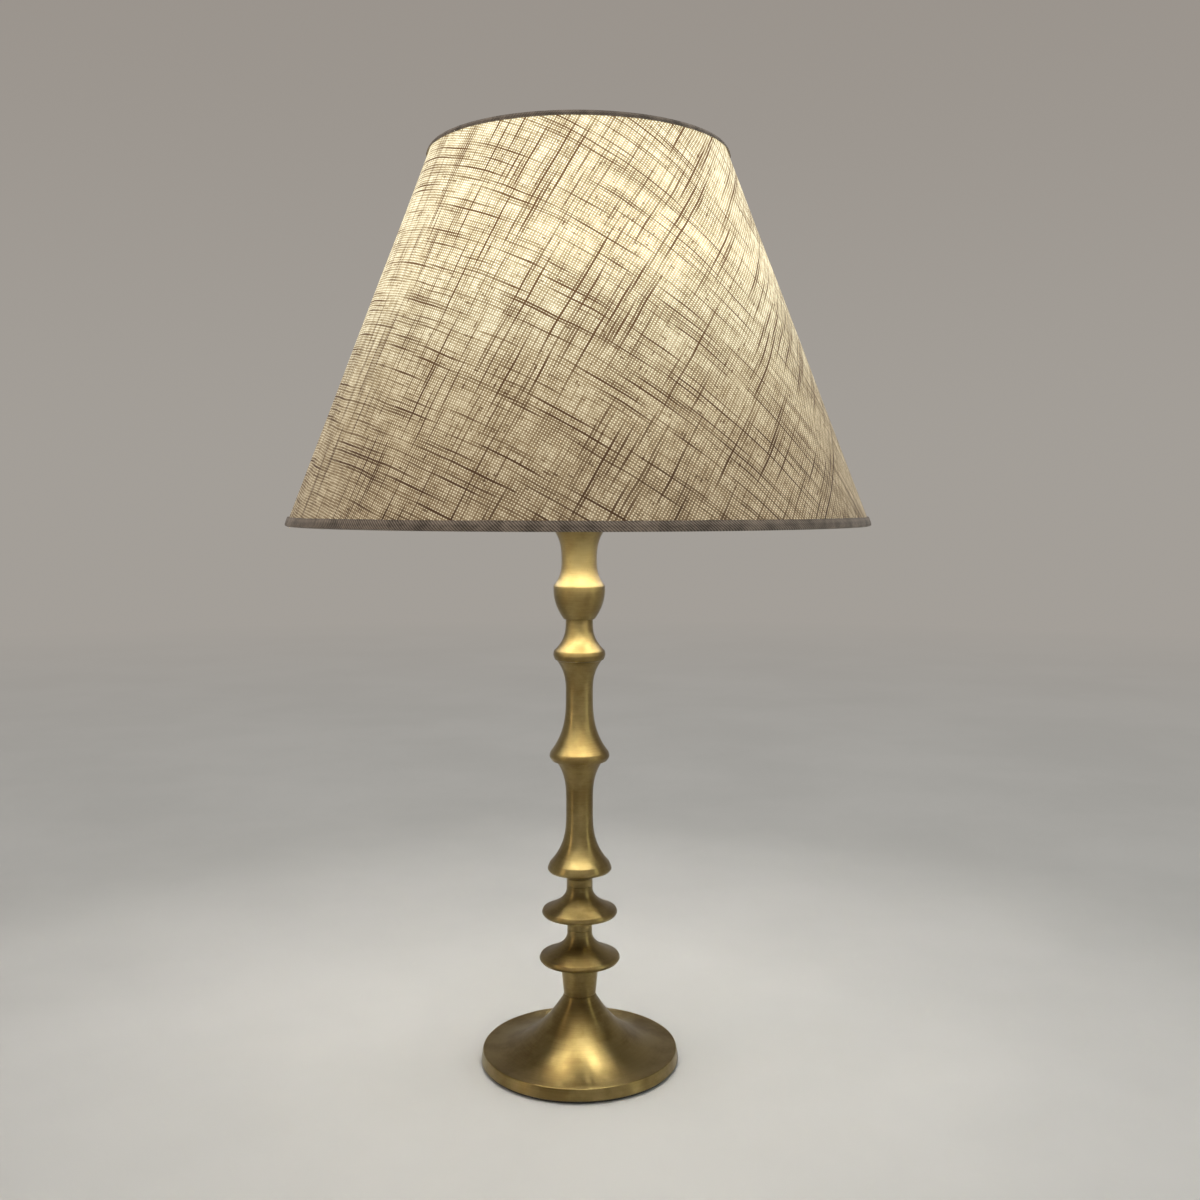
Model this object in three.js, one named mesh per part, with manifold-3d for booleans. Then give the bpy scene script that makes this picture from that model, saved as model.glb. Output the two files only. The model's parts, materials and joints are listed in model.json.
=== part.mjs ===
// A lit table lamp: a turned brass stem on a weighted trumpet foot, a brass screw lampholder
// with its lamp, and a tapered linen shade on a three-armed carrier.
// Millimetres, +Z up, origin on the table under the lamp's axis. The front of the lamp faces -Y.

import * as THREE from "three";
import { mergeVertices } from "three/addons/utils/BufferGeometryUtils.js";
import Module from "manifold-3d";

const wasm = await Module();
wasm.setup();

// Clearances
const FIT_GAP = 0.3; // between pieces that fit in or over each other
const RUN_GAP = 0.3; // between faces that slide or turn on each other
const RING_GAP = 0.5; // between the holder's outer thread and the rings on it
const LAYER_GAP = 0.25; // between the layers of the shade

// Facets
const STEM_SIDES = 20;
const FOOT_SIDES = 40;
const SHADE_SIDES = 40;
const TUBE_SIDES = 16;
const BUTTON_SIDES = 16;
const PIN_SIDES = 12;
const ROD_SIDES = 6;
const WIRE_SIDES = 5;

// Base
const FELT_THICK = 1.5;
const FELT_INSET = 1.0;
const PLATE_THICK = 1.2;
const RIM_RADIUS = 53.0;
const RIM_EDGE_RADIUS = 52.0;
const RIM_HEIGHT = 6.2;
const RIM_WALL = 1.5;
const FOOT_HEIGHT = 35.4;
const FOOT_SHOULDER_RADIUS = 9.3;
const FOOT_SHOULDER_DROP = 2.2;
const FOOT_TOP_RADIUS = 8.2;
const FOOT_TOP_THICK = 3.4;
const FOOT_CORE_RADIUS = 7.6;
const FOOT_ROOF_THICK = 2.0;
const FOOT_POWER = 2.5;
const CORE_GAP = 0.6;
const RECESS_RADIUS = 15.0;
const RECESS_DEPTH = 13.0;

// Cord outlet at the back of the rim
const OUTLET_WIDTH = 6.4;
const OUTLET_HEIGHT = 4.3;
const BUSH_WALL = 0.8;
const BUSH_DEPTH = 5.5;
const BUSH_FLANGE = 0.8;
const BUSH_FLANGE_THICK = 1.0;
const CHANNEL_WIDTH = 9.0;
const CHANNEL_HEIGHT = 6.0;
const SLOT_DEPTH = 15.0; // of the plate's slot, from the rim inwards

// Threaded tube and its fasteners
const TUBE_RADIUS = 5.0;
const TUBE_BORE = 3.7;
const TUBE_PROUD = 1.0; // past each nut
const NUT_FLATS = 14.0;
const NUT_HEIGHT = 3.5;
const WASHER_RADIUS = 13.0;
const WASHER_THICK = 1.5;

// Stem pieces, from the foot up: heights are measured from each piece's own seat
const COLLAR = { height: 14.6, bottomRadius: 8.6, topRadius: 10.0 };

const LOWER_DISC = {
  footRadius: 10.0,
  footHeight: 0.2,
  coveRadius: 18.5,
  coveZ: 3.0,
  underRadius: 20.8,
  underZ: 3.6,
  rimRadius: 21.6,
  rimZ: 5.1,
  edgeRadius: 20.9,
  edgeZ: 6.6,
  neckRadius: 6.7,
  neckZ: 19.2,
  power: 2.3,
  height: 20.7,
};

const UPPER_DISC = {
  footRadius: 6.7,
  footHeight: 3.3,
  coveRadius: 17.5,
  coveZ: 7.5,
  underRadius: 19.4,
  underZ: 8.0,
  rimRadius: 20.1,
  rimZ: 9.4,
  edgeRadius: 19.6,
  edgeZ: 11.0,
  neckRadius: 6.95,
  neckZ: 22.8,
  power: 2.3,
  height: 23.8,
};

const LOWER_COLUMN = {
  footRadius: 6.95,
  footHeight: 3.5,
  coveRadius: 14.5,
  coveZ: 7.6,
  underRadius: 16.2,
  underZ: 8.0,
  rimRadius: 17.05,
  rimZ: 9.5,
  edgeRadius: 15.9,
  edgeZ: 12.6,
  neckRadius: 7.17,
  neckZ: 41.0,
  power: 3.0,
  waistZ: 45.0,
  topRadius: 12.3,
  topPower: 3.0,
  height: 67.3,
};

const UPPER_COLUMN = {
  underRadius: 14.6,
  underZ: 0.4,
  rimRadius: 15.9,
  rimZ: 2.9,
  edgeRadius: 15.4,
  edgeZ: 5.0,
  neckRadius: 7.18,
  neckZ: 35.7,
  power: 2.9,
  waistZ: 37.5,
  topRadius: 11.8,
  topPower: 2.5,
  height: 53.7,
};

const NECK_RING = {
  underRadius: 12.9,
  underZ: 0.6,
  rimRadius: 13.75,
  rimZ: 3.4,
  edgeRadius: 13.35,
  edgeZ: 5.3,
  neckRadius: 7.17,
  neckZ: 20.5,
  power: 2.7,
  height: 21.9,
};

const BOWL = { bottomRadius: 8.2, rimRadius: 13.55, rimZ: 15.6, power: 2.1, height: 17.6 };

const CUP = {
  edgeRadius: 13.5,
  waistRadius: 9.3,
  waistZ: 13.5,
  flareRadius: 14.0,
  flareZ: 30.0,
  power: 2.7,
  lipRadius: 14.6,
  lipZ: 31.0,
  topRadius: 13.4,
  height: 34.0,
};

// Lampholder: heights are measured from its seat on the cup
const CAP_BOSS_RADIUS = 9.0;
const CAP_BOSS_HEIGHT = 5.0;
const CAP_FLOOR = 2.2;
const CAP_FLOOR_RADIUS = 13.0;
const CAP_CURVE_RADIUS = 17.0;
const CAP_CURVE_Z = 8.2;
const CAP_SHOULDER_Z = 12.5;
const CAP_WALL = 1.2;
const HOLDER_RADIUS = 19.4;
const CAP_HEIGHT = 22.5;
const GRUB_SCREW_RADIUS = 1.25;
const GRUB_SCREW_Z = 2.5;
const GRUB_SCREW_LENGTH = 4.2;
const BLOCK_GAP = 0.7;
const BLOCK_FOOT_RADIUS = 12.8;
const BLOCK_FOOT_HEIGHT = 1.8;
const BLOCK_CORE_RADIUS = 11.0;
const BAR_RADIUS = 2.2;
const BAR_Z = 16.5;
const BAR_TRAVEL = 5.0;
const BUTTON_RADIUS = 4.0;
const BUTTON_LENGTH = 5.0;
const BUTTON_GAP = 0.5;
const PORCELAIN_HEIGHT = 13.0;
const PORCELAIN_GAP = 0.5;
const TERMINAL = {
  width: 6.0,
  depth: 5.0,
  height: 7.0,
  offset: 12.0,
  screwRadius: 1.5,
  screwLength: 2.5,
};
const INSERT_SCREW = { offset: 9.5, shankRadius: 1.2, headRadius: 2.2, headHeight: 1.2, length: 8.0 };
const CONTACT_STRIP = { length: 12.0, width: 5.0, thick: 1.0 };
const SKIRT_HEIGHT = 39.0;
const SKIRT_WALL = 1.4;
const SKIRT_LIP_RADIUS = 15.4;
const SKIRT_LIP_THICK = 1.8;
const RING_PITCH = 2.5;
const RING_THREAD_DEPTH = 0.5;
const RING_THREAD_TURNS = 13;
const SKIRT_THREAD_Z = 2.5;
const LOWER_RING_Z = 2.5;
const LOWER_RING_HEIGHT = 4.0;
const RING_FLANGE_THICK = 1.7;
const RING_FLANGE_RADIUS = 26.5;
const RING_HUB_RADIUS = 22.5;
const UPPER_RING_HEIGHT = 5.0;

// Screw cap of the lamp and the shell that takes it
const LAMP_PITCH = 3.629;
const CAP_CREST_RADIUS = 12.9;
const THREAD_DEPTH = 0.7;
const SHELL_CREST_RADIUS = 13.4;
const SHELL_WALL = 0.6;
const SHELL_TURNS = 5;
const SHELL_COLLAR = 1.6;
const TIP_RADIUS = 4.8;
const TIP_THICK = 0.8;
const INSULATOR_HEIGHT = 3.6;
const INSULATOR_RADIUS = 11.8;
const CAP_TURNS = 5;
const CAP_NECK_HEIGHT = 2.4;
const CAP_INNER_RADIUS = 11.2;
const BODY_RADIUS = 24.6;
const BODY_FOOT_RADIUS = 13.6;
const BODY_HEIGHT = 33.5;
const BODY_WALL = 1.4;
const BODY_POWER = 1.6;
const BOARD_THICK = 1.5;
const BOARD_DROP = 3.0;
const GLOBE_RADIUS = 30.0;
const GLOBE_WALL = 1.2;

// Shade
const SHADE_BOTTOM_RADIUS = 150.0;
const SHADE_TOP_RADIUS = 76.2;
const SHADE_HEIGHT = 188.9;
const FITTER_RISE = 31.5; // from the lower edge to the carrier ring
const HEM_THICK = 0.5;
const FABRIC_THICK = 0.6;
const LINER_THICK = 0.8;
const WIRE_RADIUS = 1.25;
const BOTTOM_HEM_BAND = 4.6;
const TOP_HEM_BAND = 3.0;
const HEM_EDGE_THICK = 0.55;
const HEM_CHAMFER = 0.6;
const PANEL_INSET = 0.3;
const FITTER_RING_RADIUS = 31.0;
const FITTER_RING_GAP = 1.2;
const FITTER_RING_THICK = 1.5;
const WASHER_RING_THICK = 0.8;
const WASHER_RING_RADIUS = 25.5;
const ARM_COUNT = 3;
const ARM_RADIUS = 1.5;
const ARM_LAP = 3.5;
const ARM_LEVEL = 7.0;

// Where each piece stands
const footSeat = FELT_THICK;
const collarSeat = footSeat + FOOT_HEIGHT;
const lowerDiscSeat = collarSeat + COLLAR.height;
const upperDiscSeat = lowerDiscSeat + LOWER_DISC.height;
const lowerColumnSeat = upperDiscSeat + UPPER_DISC.height;
const upperColumnSeat = lowerColumnSeat + LOWER_COLUMN.height;
const neckRingSeat = upperColumnSeat + UPPER_COLUMN.height;
const bowlSeat = neckRingSeat + NECK_RING.height;
const cupSeat = bowlSeat + BOWL.height;
const holderSeat = cupSeat + CUP.height;
const insertSeat = holderSeat + CAP_HEIGHT;
const shellSeat = insertSeat + PORCELAIN_HEIGHT;
const tipSeat = shellSeat + CONTACT_STRIP.thick + RUN_GAP;
const lowerRingSeat = insertSeat + LOWER_RING_Z;
const fitterSeat = lowerRingSeat + LOWER_RING_HEIGHT + RUN_GAP;
const washerSeat = fitterSeat + FITTER_RING_THICK + RUN_GAP;
const upperRingSeat = washerSeat + WASHER_RING_THICK + RUN_GAP;
const shadeSeat = fitterSeat - FITTER_RISE;

const stemBore = TUBE_RADIUS + FIT_GAP;
const weightSeat = footSeat + PLATE_THICK + FIT_GAP;
const recessTop = weightSeat + RECESS_DEPTH;
const lowerNutSeat = recessTop - WASHER_THICK - NUT_HEIGHT;
const capFloorZ = CAP_BOSS_HEIGHT + CAP_FLOOR;
const tubeBottom = lowerNutSeat - TUBE_PROUD;
const tubeTop = holderSeat + capFloorZ + NUT_HEIGHT + TUBE_PROUD;

const COLOURS = {
  brass: { color: 0x8f7434, roughness: 0.32, metalness: 1.0 },
  steel: { color: 0x9a9c9e, roughness: 0.35, metalness: 1.0 },
  iron: { color: 0x3c3a38, roughness: 0.8, metalness: 0.6 },
  felt: { color: 0x1c1b19, roughness: 1.0, metalness: 0.0 },
  nylon: { color: 0x24201c, roughness: 0.6, metalness: 0.0 },
  bakelite: { color: 0x2a211b, roughness: 0.45, metalness: 0.0 },
  porcelain: { color: 0xe9e6de, roughness: 0.25, metalness: 0.0 },
  plastic: { color: 0xf1efe9, roughness: 0.5, metalness: 0.0 },
  glass: { color: 0xfff3d6, roughness: 0.4, metalness: 0.0 },
  linen: { color: 0xa3937c, roughness: 0.95, metalness: 0.0 },
  liner: { color: 0xf2e9d8, roughness: 0.6, metalness: 0.0 },
  hem: { color: 0x6f675c, roughness: 0.95, metalness: 0.0 },
};

const lamp = new THREE.Group();

// Adds one named mesh with a material of its own, standing at a height on the lamp's axis.
function addPiece(name, geometry, colour, z = 0) {
  const mesh = new THREE.Mesh(geometry, new THREE.MeshStandardMaterial(COLOURS[colour]));
  mesh.name = name;
  mesh.position.z = z;
  lamp.add(mesh);
  return mesh;
}

// Turns a closed or axis-to-axis outline of [radius, height] points about the Z axis.
function lathe(points, sides = STEM_SIDES) {
  const outline = points.map(([radius, height]) => new THREE.Vector2(radius, height));
  return new THREE.LatheGeometry(outline, sides).rotateX(Math.PI / 2);
}

// A turned piece with a straight bore: its outside is listed from the bottom up.
function bored(outside, bore, sides = STEM_SIDES) {
  const bottom = outside[0][1];
  const top = outside[outside.length - 1][1];
  return lathe([[bore, bottom], ...outside, [bore, top], [bore, bottom]], sides);
}

// A plain ring of rectangular section, standing on height zero.
function washer(bore, radius, thick, sides = STEM_SIDES) {
  return bored([[radius, 0], [radius, thick]], bore, sides);
}

function cylinder(radius, length, sides = STEM_SIDES) {
  return lathe([[0, 0], [radius, 0], [radius, length], [0, length]], sides);
}

function box(width, depth, height) {
  return new THREE.BoxGeometry(width, depth, height).translate(0, 0, height / 2);
}

// Outline of a flare from its neck to its rim: the radius grows as a power of the height.
function flare(neckRadius, neckZ, rimRadius, rimZ, power, steps = 5) {
  const points = [];
  for (let step = 0; step <= steps; step += 1) {
    const share = step / steps;
    points.push([flareRadius(neckRadius, rimRadius, power, share), neckZ + (rimZ - neckZ) * share]);
  }
  return points;
}

function flareRadius(neckRadius, rimRadius, power, share) {
  return neckRadius + (rimRadius - neckRadius) * share ** power;
}

// Outline of a trumpet from its rim to its neck.
// The height grows as a power of the distance from the rim.
function trumpet(rimRadius, rimZ, neckRadius, neckZ, power, steps = 9) {
  const points = [];
  for (let step = 0; step <= steps; step += 1) {
    const share = step / steps;
    const height = rimZ + (neckZ - rimZ) * share ** power;
    points.push([rimRadius + (neckRadius - rimRadius) * share, height]);
  }
  return points;
}

// Outline of a screw thread drawn as grooves one pitch apart, from the bottom up.
function threadOutline(crestRadius, depth, pitch, turns, startZ) {
  const points = [];
  for (let turn = 0; turn < turns; turn += 1) {
    points.push([crestRadius - depth, startZ + turn * pitch]);
    points.push([crestRadius, startZ + (turn + 0.5) * pitch]);
  }
  points.push([crestRadius - depth, startZ + turns * pitch]);
  return points;
}

function toSolid(geometry) {
  const bare = geometry.clone();
  bare.deleteAttribute("normal");
  bare.deleteAttribute("uv");
  const merged = mergeVertices(bare, 1e-4);
  const vertProperties = merged.getAttribute("position").array;
  const triVerts = new Uint32Array(merged.index.array);
  return new wasm.Manifold(new wasm.Mesh({ numProp: 3, vertProperties, triVerts }));
}

function toGeometry(solid) {
  const mesh = solid.getMesh();
  const geometry = new THREE.BufferGeometry();
  geometry.setAttribute("position", new THREE.BufferAttribute(mesh.vertProperties, 3));
  geometry.setIndex(new THREE.BufferAttribute(mesh.triVerts, 1));
  geometry.computeVertexNormals();
  return geometry;
}

function cut(body, ...tools) {
  let solid = toSolid(body);
  for (const tool of tools) solid = solid.subtract(toSolid(tool));
  return toGeometry(solid);
}

function join(...bodies) {
  let solid = toSolid(bodies[0]);
  for (const body of bodies.slice(1)) solid = solid.add(toSolid(body));
  return toGeometry(solid);
}

// A hexagon nut, standing on height zero.
function hexNut(flats, bore, height) {
  const corner = flats / 2 / Math.cos(Math.PI / 6);
  return cut(cylinder(corner, height, 6), cylinder(bore, height + 2).translate(0, 0, -1));
}

// A cylinder lying along +X, from one x to another, at a height.
function crossPin(radius, fromX, toX, z, sides = PIN_SIDES) {
  return cylinder(radius, toX - fromX, sides).rotateY(Math.PI / 2).translate(fromX, 0, z);
}

// A block that cuts a slot from a given y out through the back of the foot.
function rearCut(width, height, fromY) {
  return box(width, RIM_RADIUS, height).translate(0, fromY + RIM_RADIUS / 2, 0);
}

function addBase() {
  const rimInside = RIM_RADIUS - RIM_WALL;
  const coreRim = RIM_EDGE_RADIUS - RIM_WALL;
  const coreRimZ = RIM_HEIGHT - FOOT_ROOF_THICK;
  const coreTop = FOOT_HEIGHT - FOOT_TOP_THICK;
  const outletSide = OUTLET_WIDTH / 2 + BUSH_WALL;
  const outletTop = OUTLET_HEIGHT + BUSH_WALL;
  const notchFrom = RIM_RADIUS - BUSH_DEPTH;

  addPiece("felt_pad", cylinder(RIM_RADIUS - FELT_INSET, FELT_THICK, FOOT_SIDES), "felt");

  const plate = cylinder(rimInside - FIT_GAP, PLATE_THICK, FOOT_SIDES);
  const plateNotch = rearCut(CHANNEL_WIDTH, PLATE_THICK + 2, RIM_RADIUS - SLOT_DEPTH).translate(0, 0, -1);
  addPiece("base_plate", cut(plate, plateNotch), "steel", footSeat);

  const shoulderZ = FOOT_HEIGHT - FOOT_SHOULDER_DROP;
  const outside = [
    [RIM_RADIUS, 0],
    ...trumpet(RIM_EDGE_RADIUS, RIM_HEIGHT, FOOT_SHOULDER_RADIUS, shoulderZ, FOOT_POWER),
    [(FOOT_SHOULDER_RADIUS + FOOT_TOP_RADIUS) / 2, FOOT_HEIGHT - FOOT_SHOULDER_DROP / 3],
    [FOOT_TOP_RADIUS, FOOT_HEIGHT],
  ];
  const inside = [
    ...trumpet(coreRim, coreRimZ, FOOT_CORE_RADIUS, coreTop, FOOT_POWER, 6).reverse(),
    [rimInside, 0],
  ];
  const bore = [[stemBore, FOOT_HEIGHT], [stemBore, coreTop]];
  const shell = lathe([...outside, ...bore, ...inside, outside[0]], FOOT_SIDES);
  const notchWidth = 2 * (outletSide + FIT_GAP);
  const notch = rearCut(notchWidth, outletTop + FIT_GAP + 1, notchFrom).translate(0, 0, -1);
  addPiece("base_foot", cut(shell, notch), "brass", footSeat);

  const weightRim = coreRim - CORE_GAP;
  const weightTop = footSeat + coreTop - weightSeat;
  const weightRimZ = footSeat + coreRimZ - CORE_GAP - weightSeat;
  const weight = lathe([
    [RECESS_RADIUS, 0],
    [weightRim, 0],
    ...trumpet(weightRim, weightRimZ, FOOT_CORE_RADIUS - CORE_GAP, weightTop, FOOT_POWER, 6),
    [stemBore, weightTop],
    [stemBore, RECESS_DEPTH],
    [RECESS_RADIUS, RECESS_DEPTH],
    [RECESS_RADIUS, 0],
  ]);
  const channel = rearCut(CHANNEL_WIDTH, CHANNEL_HEIGHT + 1, 0).translate(0, 0, -1);
  addPiece("base_weight", cut(weight, channel), "iron", weightSeat);

  const bushBody = box(2 * outletSide, BUSH_DEPTH + RUN_GAP, outletTop);
  const flangeWidth = 2 * (outletSide + BUSH_FLANGE);
  const flange = box(flangeWidth, BUSH_FLANGE_THICK, outletTop + BUSH_FLANGE / 2);
  const flangeY = RIM_RADIUS + RUN_GAP + BUSH_FLANGE_THICK / 2;
  const bush = join(
    bushBody.translate(0, notchFrom + (BUSH_DEPTH + RUN_GAP) / 2, 0),
    flange.translate(0, flangeY, 0),
  );
  const outlet = rearCut(OUTLET_WIDTH, OUTLET_HEIGHT + 1, notchFrom - 1).translate(0, 0, -1);
  addPiece("cord_bush", cut(bush, outlet), "nylon", footSeat);
}

function addTube() {
  const nut = () => hexNut(NUT_FLATS, stemBore, NUT_HEIGHT);
  const tube = washer(TUBE_BORE, TUBE_RADIUS, tubeTop - tubeBottom, TUBE_SIDES);
  const tubeWasher = washer(stemBore, WASHER_RADIUS, WASHER_THICK);
  addPiece("threaded_tube", tube, "steel", tubeBottom);
  addPiece("tube_washer", tubeWasher, "steel", recessTop - WASHER_THICK);
  addPiece("tube_nut", nut(), "steel", lowerNutSeat);
  addPiece("holder_lock_nut", nut(), "brass", holderSeat + capFloorZ);
}

// A saucer on a foot: a cove under a rounded rim, and a tall flare from the rim up to a neck.
function saucer(size, steps) {
  return [
    [size.footRadius, 0],
    ...flare(size.footRadius, size.footHeight, size.coveRadius, size.coveZ, 2, 3),
    [size.underRadius, size.underZ],
    [size.rimRadius, size.rimZ],
    ...flare(size.neckRadius, size.neckZ, size.edgeRadius, size.edgeZ, size.power, steps).reverse(),
  ];
}

// A rounded rim that stands straight on the piece below, and the flare from it up to a neck.
function collarRing(size, footRadius, steps) {
  return [
    [footRadius, 0],
    [size.underRadius, size.underZ],
    [(size.underRadius + 2 * size.rimRadius) / 3, (size.underZ + size.rimZ) / 2],
    [size.rimRadius, size.rimZ],
    ...flare(size.neckRadius, size.neckZ, size.edgeRadius, size.edgeZ, size.power, steps).reverse(),
  ];
}

function topFlare(size) {
  return flare(size.neckRadius, size.waistZ, size.topRadius, size.height, size.topPower, 4);
}

function addStem() {
  const collar = [[COLLAR.bottomRadius, 0], [COLLAR.topRadius, COLLAR.height]];
  addPiece("stem_collar", bored(collar, stemBore), "brass", collarSeat);

  const lowerDisc = [...saucer(LOWER_DISC, 6), [LOWER_DISC.neckRadius, LOWER_DISC.height]];
  addPiece("stem_lower_disc", bored(lowerDisc, stemBore), "brass", lowerDiscSeat);

  const upperDisc = [...saucer(UPPER_DISC, 6), [UPPER_DISC.neckRadius, UPPER_DISC.height]];
  addPiece("stem_upper_disc", bored(upperDisc, stemBore), "brass", upperDiscSeat);

  const lowerColumn = [...saucer(LOWER_COLUMN, 5), ...topFlare(LOWER_COLUMN)];
  addPiece("stem_lower_column", bored(lowerColumn, stemBore), "brass", lowerColumnSeat);

  const upperColumn = [...collarRing(UPPER_COLUMN, LOWER_COLUMN.topRadius, 6), ...topFlare(UPPER_COLUMN)];
  addPiece("stem_upper_column", bored(upperColumn, stemBore), "brass", upperColumnSeat);

  const neckTop = [NECK_RING.neckRadius, NECK_RING.height];
  const neckRing = [...collarRing(NECK_RING, UPPER_COLUMN.topRadius, 5), neckTop];
  addPiece("stem_neck_ring", bored(neckRing, stemBore), "brass", neckRingSeat);

  const bowl = [
    ...flare(BOWL.rimRadius, BOWL.rimZ, BOWL.bottomRadius, 0, BOWL.power, 5).reverse(),
    [CUP.edgeRadius, BOWL.height],
  ];
  addPiece("stem_bowl", bored(bowl, stemBore), "brass", bowlSeat);

  const cup = [
    ...flare(CUP.waistRadius, CUP.waistZ, CUP.edgeRadius, 0, CUP.power, 5).reverse(),
    ...flare(CUP.waistRadius, CUP.waistZ, CUP.flareRadius, CUP.flareZ, CUP.power, 5).slice(1),
    [CUP.lipRadius, CUP.lipZ],
    [CUP.lipRadius, (CUP.lipZ + CUP.height) / 2],
    [CUP.topRadius, CUP.height],
  ];
  addPiece("stem_cup", bored(cup, stemBore), "brass", cupSeat);
}

// The lower cup of the lampholder, with the switch bar's holes and the grub screw's.
function addHolderCap() {
  const inside = HOLDER_RADIUS - CAP_WALL;
  const cup = lathe([
    [stemBore, 0],
    [CAP_BOSS_RADIUS, 0],
    [CAP_BOSS_RADIUS, CAP_BOSS_HEIGHT],
    [CAP_FLOOR_RADIUS, CAP_BOSS_HEIGHT + CAP_WALL / 2],
    [CAP_CURVE_RADIUS, CAP_CURVE_Z],
    [HOLDER_RADIUS, CAP_SHOULDER_Z],
    [HOLDER_RADIUS, CAP_HEIGHT],
    [inside, CAP_HEIGHT],
    [inside, CAP_SHOULDER_Z + CAP_WALL / 2],
    [CAP_CURVE_RADIUS - CAP_WALL, CAP_CURVE_Z + CAP_WALL],
    [CAP_FLOOR_RADIUS, capFloorZ],
    [stemBore, capFloorZ],
    [stemBore, 0],
  ]);
  const barHole = crossPin(BAR_RADIUS + BUTTON_GAP, -2 * HOLDER_RADIUS, 2 * HOLDER_RADIUS, BAR_Z);
  const grubHole = crossPin(GRUB_SCREW_RADIUS + FIT_GAP, 0, CAP_BOSS_RADIUS + 1, GRUB_SCREW_Z);
  addPiece("holder_cap", cut(cup, barHole, grubHole.rotateZ(Math.PI / 2)), "brass", holderSeat);

  const grubFrom = TUBE_RADIUS + FIT_GAP;
  const grub = crossPin(GRUB_SCREW_RADIUS, grubFrom, grubFrom + GRUB_SCREW_LENGTH, GRUB_SCREW_Z);
  addPiece("holder_grub_screw", grub.rotateZ(Math.PI / 2), "steel", holderSeat);
}

// A push bar through a block: one button stands out by the travel, and the other lies near the wall.
function addSwitch() {
  const blockRadius = HOLDER_RADIUS - CAP_WALL - BLOCK_GAP;
  const blockBase = capFloorZ + BLOCK_FOOT_HEIGHT;
  const coreTop = capFloorZ + NUT_HEIGHT + TUBE_PROUD + RUN_GAP;
  const block = lathe([
    [0, coreTop],
    [BLOCK_CORE_RADIUS, coreTop],
    [BLOCK_CORE_RADIUS, capFloorZ],
    [BLOCK_FOOT_RADIUS, capFloorZ],
    [BLOCK_FOOT_RADIUS, blockBase],
    [blockRadius, CAP_SHOULDER_Z + BLOCK_FOOT_HEIGHT],
    [blockRadius, CAP_HEIGHT],
    [0, CAP_HEIGHT],
  ]);
  const bore = crossPin(BAR_RADIUS + RUN_GAP, -2 * blockRadius, 2 * blockRadius, BAR_Z);
  addPiece("switch_block", cut(block, bore), "bakelite", holderSeat);

  const barLeft = -(HOLDER_RADIUS + BUTTON_GAP);
  const barRight = HOLDER_RADIUS + BUTTON_GAP + BAR_TRAVEL;
  addPiece("switch_bar", crossPin(BAR_RADIUS, barLeft, barRight, BAR_Z), "bakelite", holderSeat);
  const button = (fromX) => crossPin(BUTTON_RADIUS, fromX, fromX + BUTTON_LENGTH, BAR_Z, BUTTON_SIDES);
  addPiece("switch_button_left", button(barLeft - BUTTON_LENGTH), "bakelite", holderSeat);
  addPiece("switch_button_right", button(barRight), "bakelite", holderSeat);
}

function addTerminals() {
  const block = () => box(TERMINAL.depth, TERMINAL.width, TERMINAL.height);
  const screwZ = TERMINAL.height / 2;
  const screwHole = crossPin(TERMINAL.screwRadius + FIT_GAP, 0, TERMINAL.depth, screwZ);
  const screwFrom = TERMINAL.offset + TERMINAL.depth / 2 - TERMINAL.screwLength;
  const screw = crossPin(TERMINAL.screwRadius, screwFrom, screwFrom + TERMINAL.screwLength, screwZ);
  const terminal = cut(block(), screwHole).translate(TERMINAL.offset, 0, 0);
  addPiece("terminal_live", terminal.clone(), "brass", insertSeat);
  addPiece("terminal_neutral", terminal.clone().rotateZ(Math.PI), "brass", insertSeat);
  addPiece("terminal_screw_live", screw.clone(), "steel", insertSeat);
  addPiece("terminal_screw_neutral", screw.clone().rotateZ(Math.PI), "steel", insertSeat);
}

// The porcelain insert with its terminals, the centre contact and the two screws that hold the shell.
function addInsert() {
  const radius = HOLDER_RADIUS - SKIRT_WALL - PORCELAIN_GAP;
  const pocketWidth = TERMINAL.width + 2 * FIT_GAP;
  const pocketHeight = TERMINAL.height + FIT_GAP + 1;
  const pocketFrom = TERMINAL.offset - TERMINAL.depth / 2 - FIT_GAP;
  const pocket = (side) => box(radius, pocketWidth, pocketHeight)
    .translate(side * (pocketFrom + radius / 2), 0, -1);
  const holeRadius = INSERT_SCREW.shankRadius + FIT_GAP;
  const holeDepth = INSERT_SCREW.length + FIT_GAP;
  const hole = (side) => cylinder(holeRadius, holeDepth + 1, PIN_SIDES)
    .translate(0, side * INSERT_SCREW.offset, PORCELAIN_HEIGHT - holeDepth);
  const body = cut(cylinder(radius, PORCELAIN_HEIGHT), pocket(1), pocket(-1), hole(1), hole(-1));
  addPiece("porcelain_insert", body, "porcelain", insertSeat);

  const screw = (side) => join(
    cylinder(INSERT_SCREW.shankRadius, INSERT_SCREW.length + INSERT_SCREW.headHeight / 2, PIN_SIDES)
      .translate(0, side * INSERT_SCREW.offset, PORCELAIN_HEIGHT - INSERT_SCREW.length),
    cylinder(INSERT_SCREW.headRadius, INSERT_SCREW.headHeight, PIN_SIDES)
      .translate(0, side * INSERT_SCREW.offset, PORCELAIN_HEIGHT),
  );
  addPiece("insert_screw_front", screw(-1), "steel", insertSeat);
  addPiece("insert_screw_rear", screw(1), "steel", insertSeat);
  const strip = box(CONTACT_STRIP.length, CONTACT_STRIP.width, CONTACT_STRIP.thick);
  addPiece("centre_contact", strip, "brass", shellSeat);
}

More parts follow.
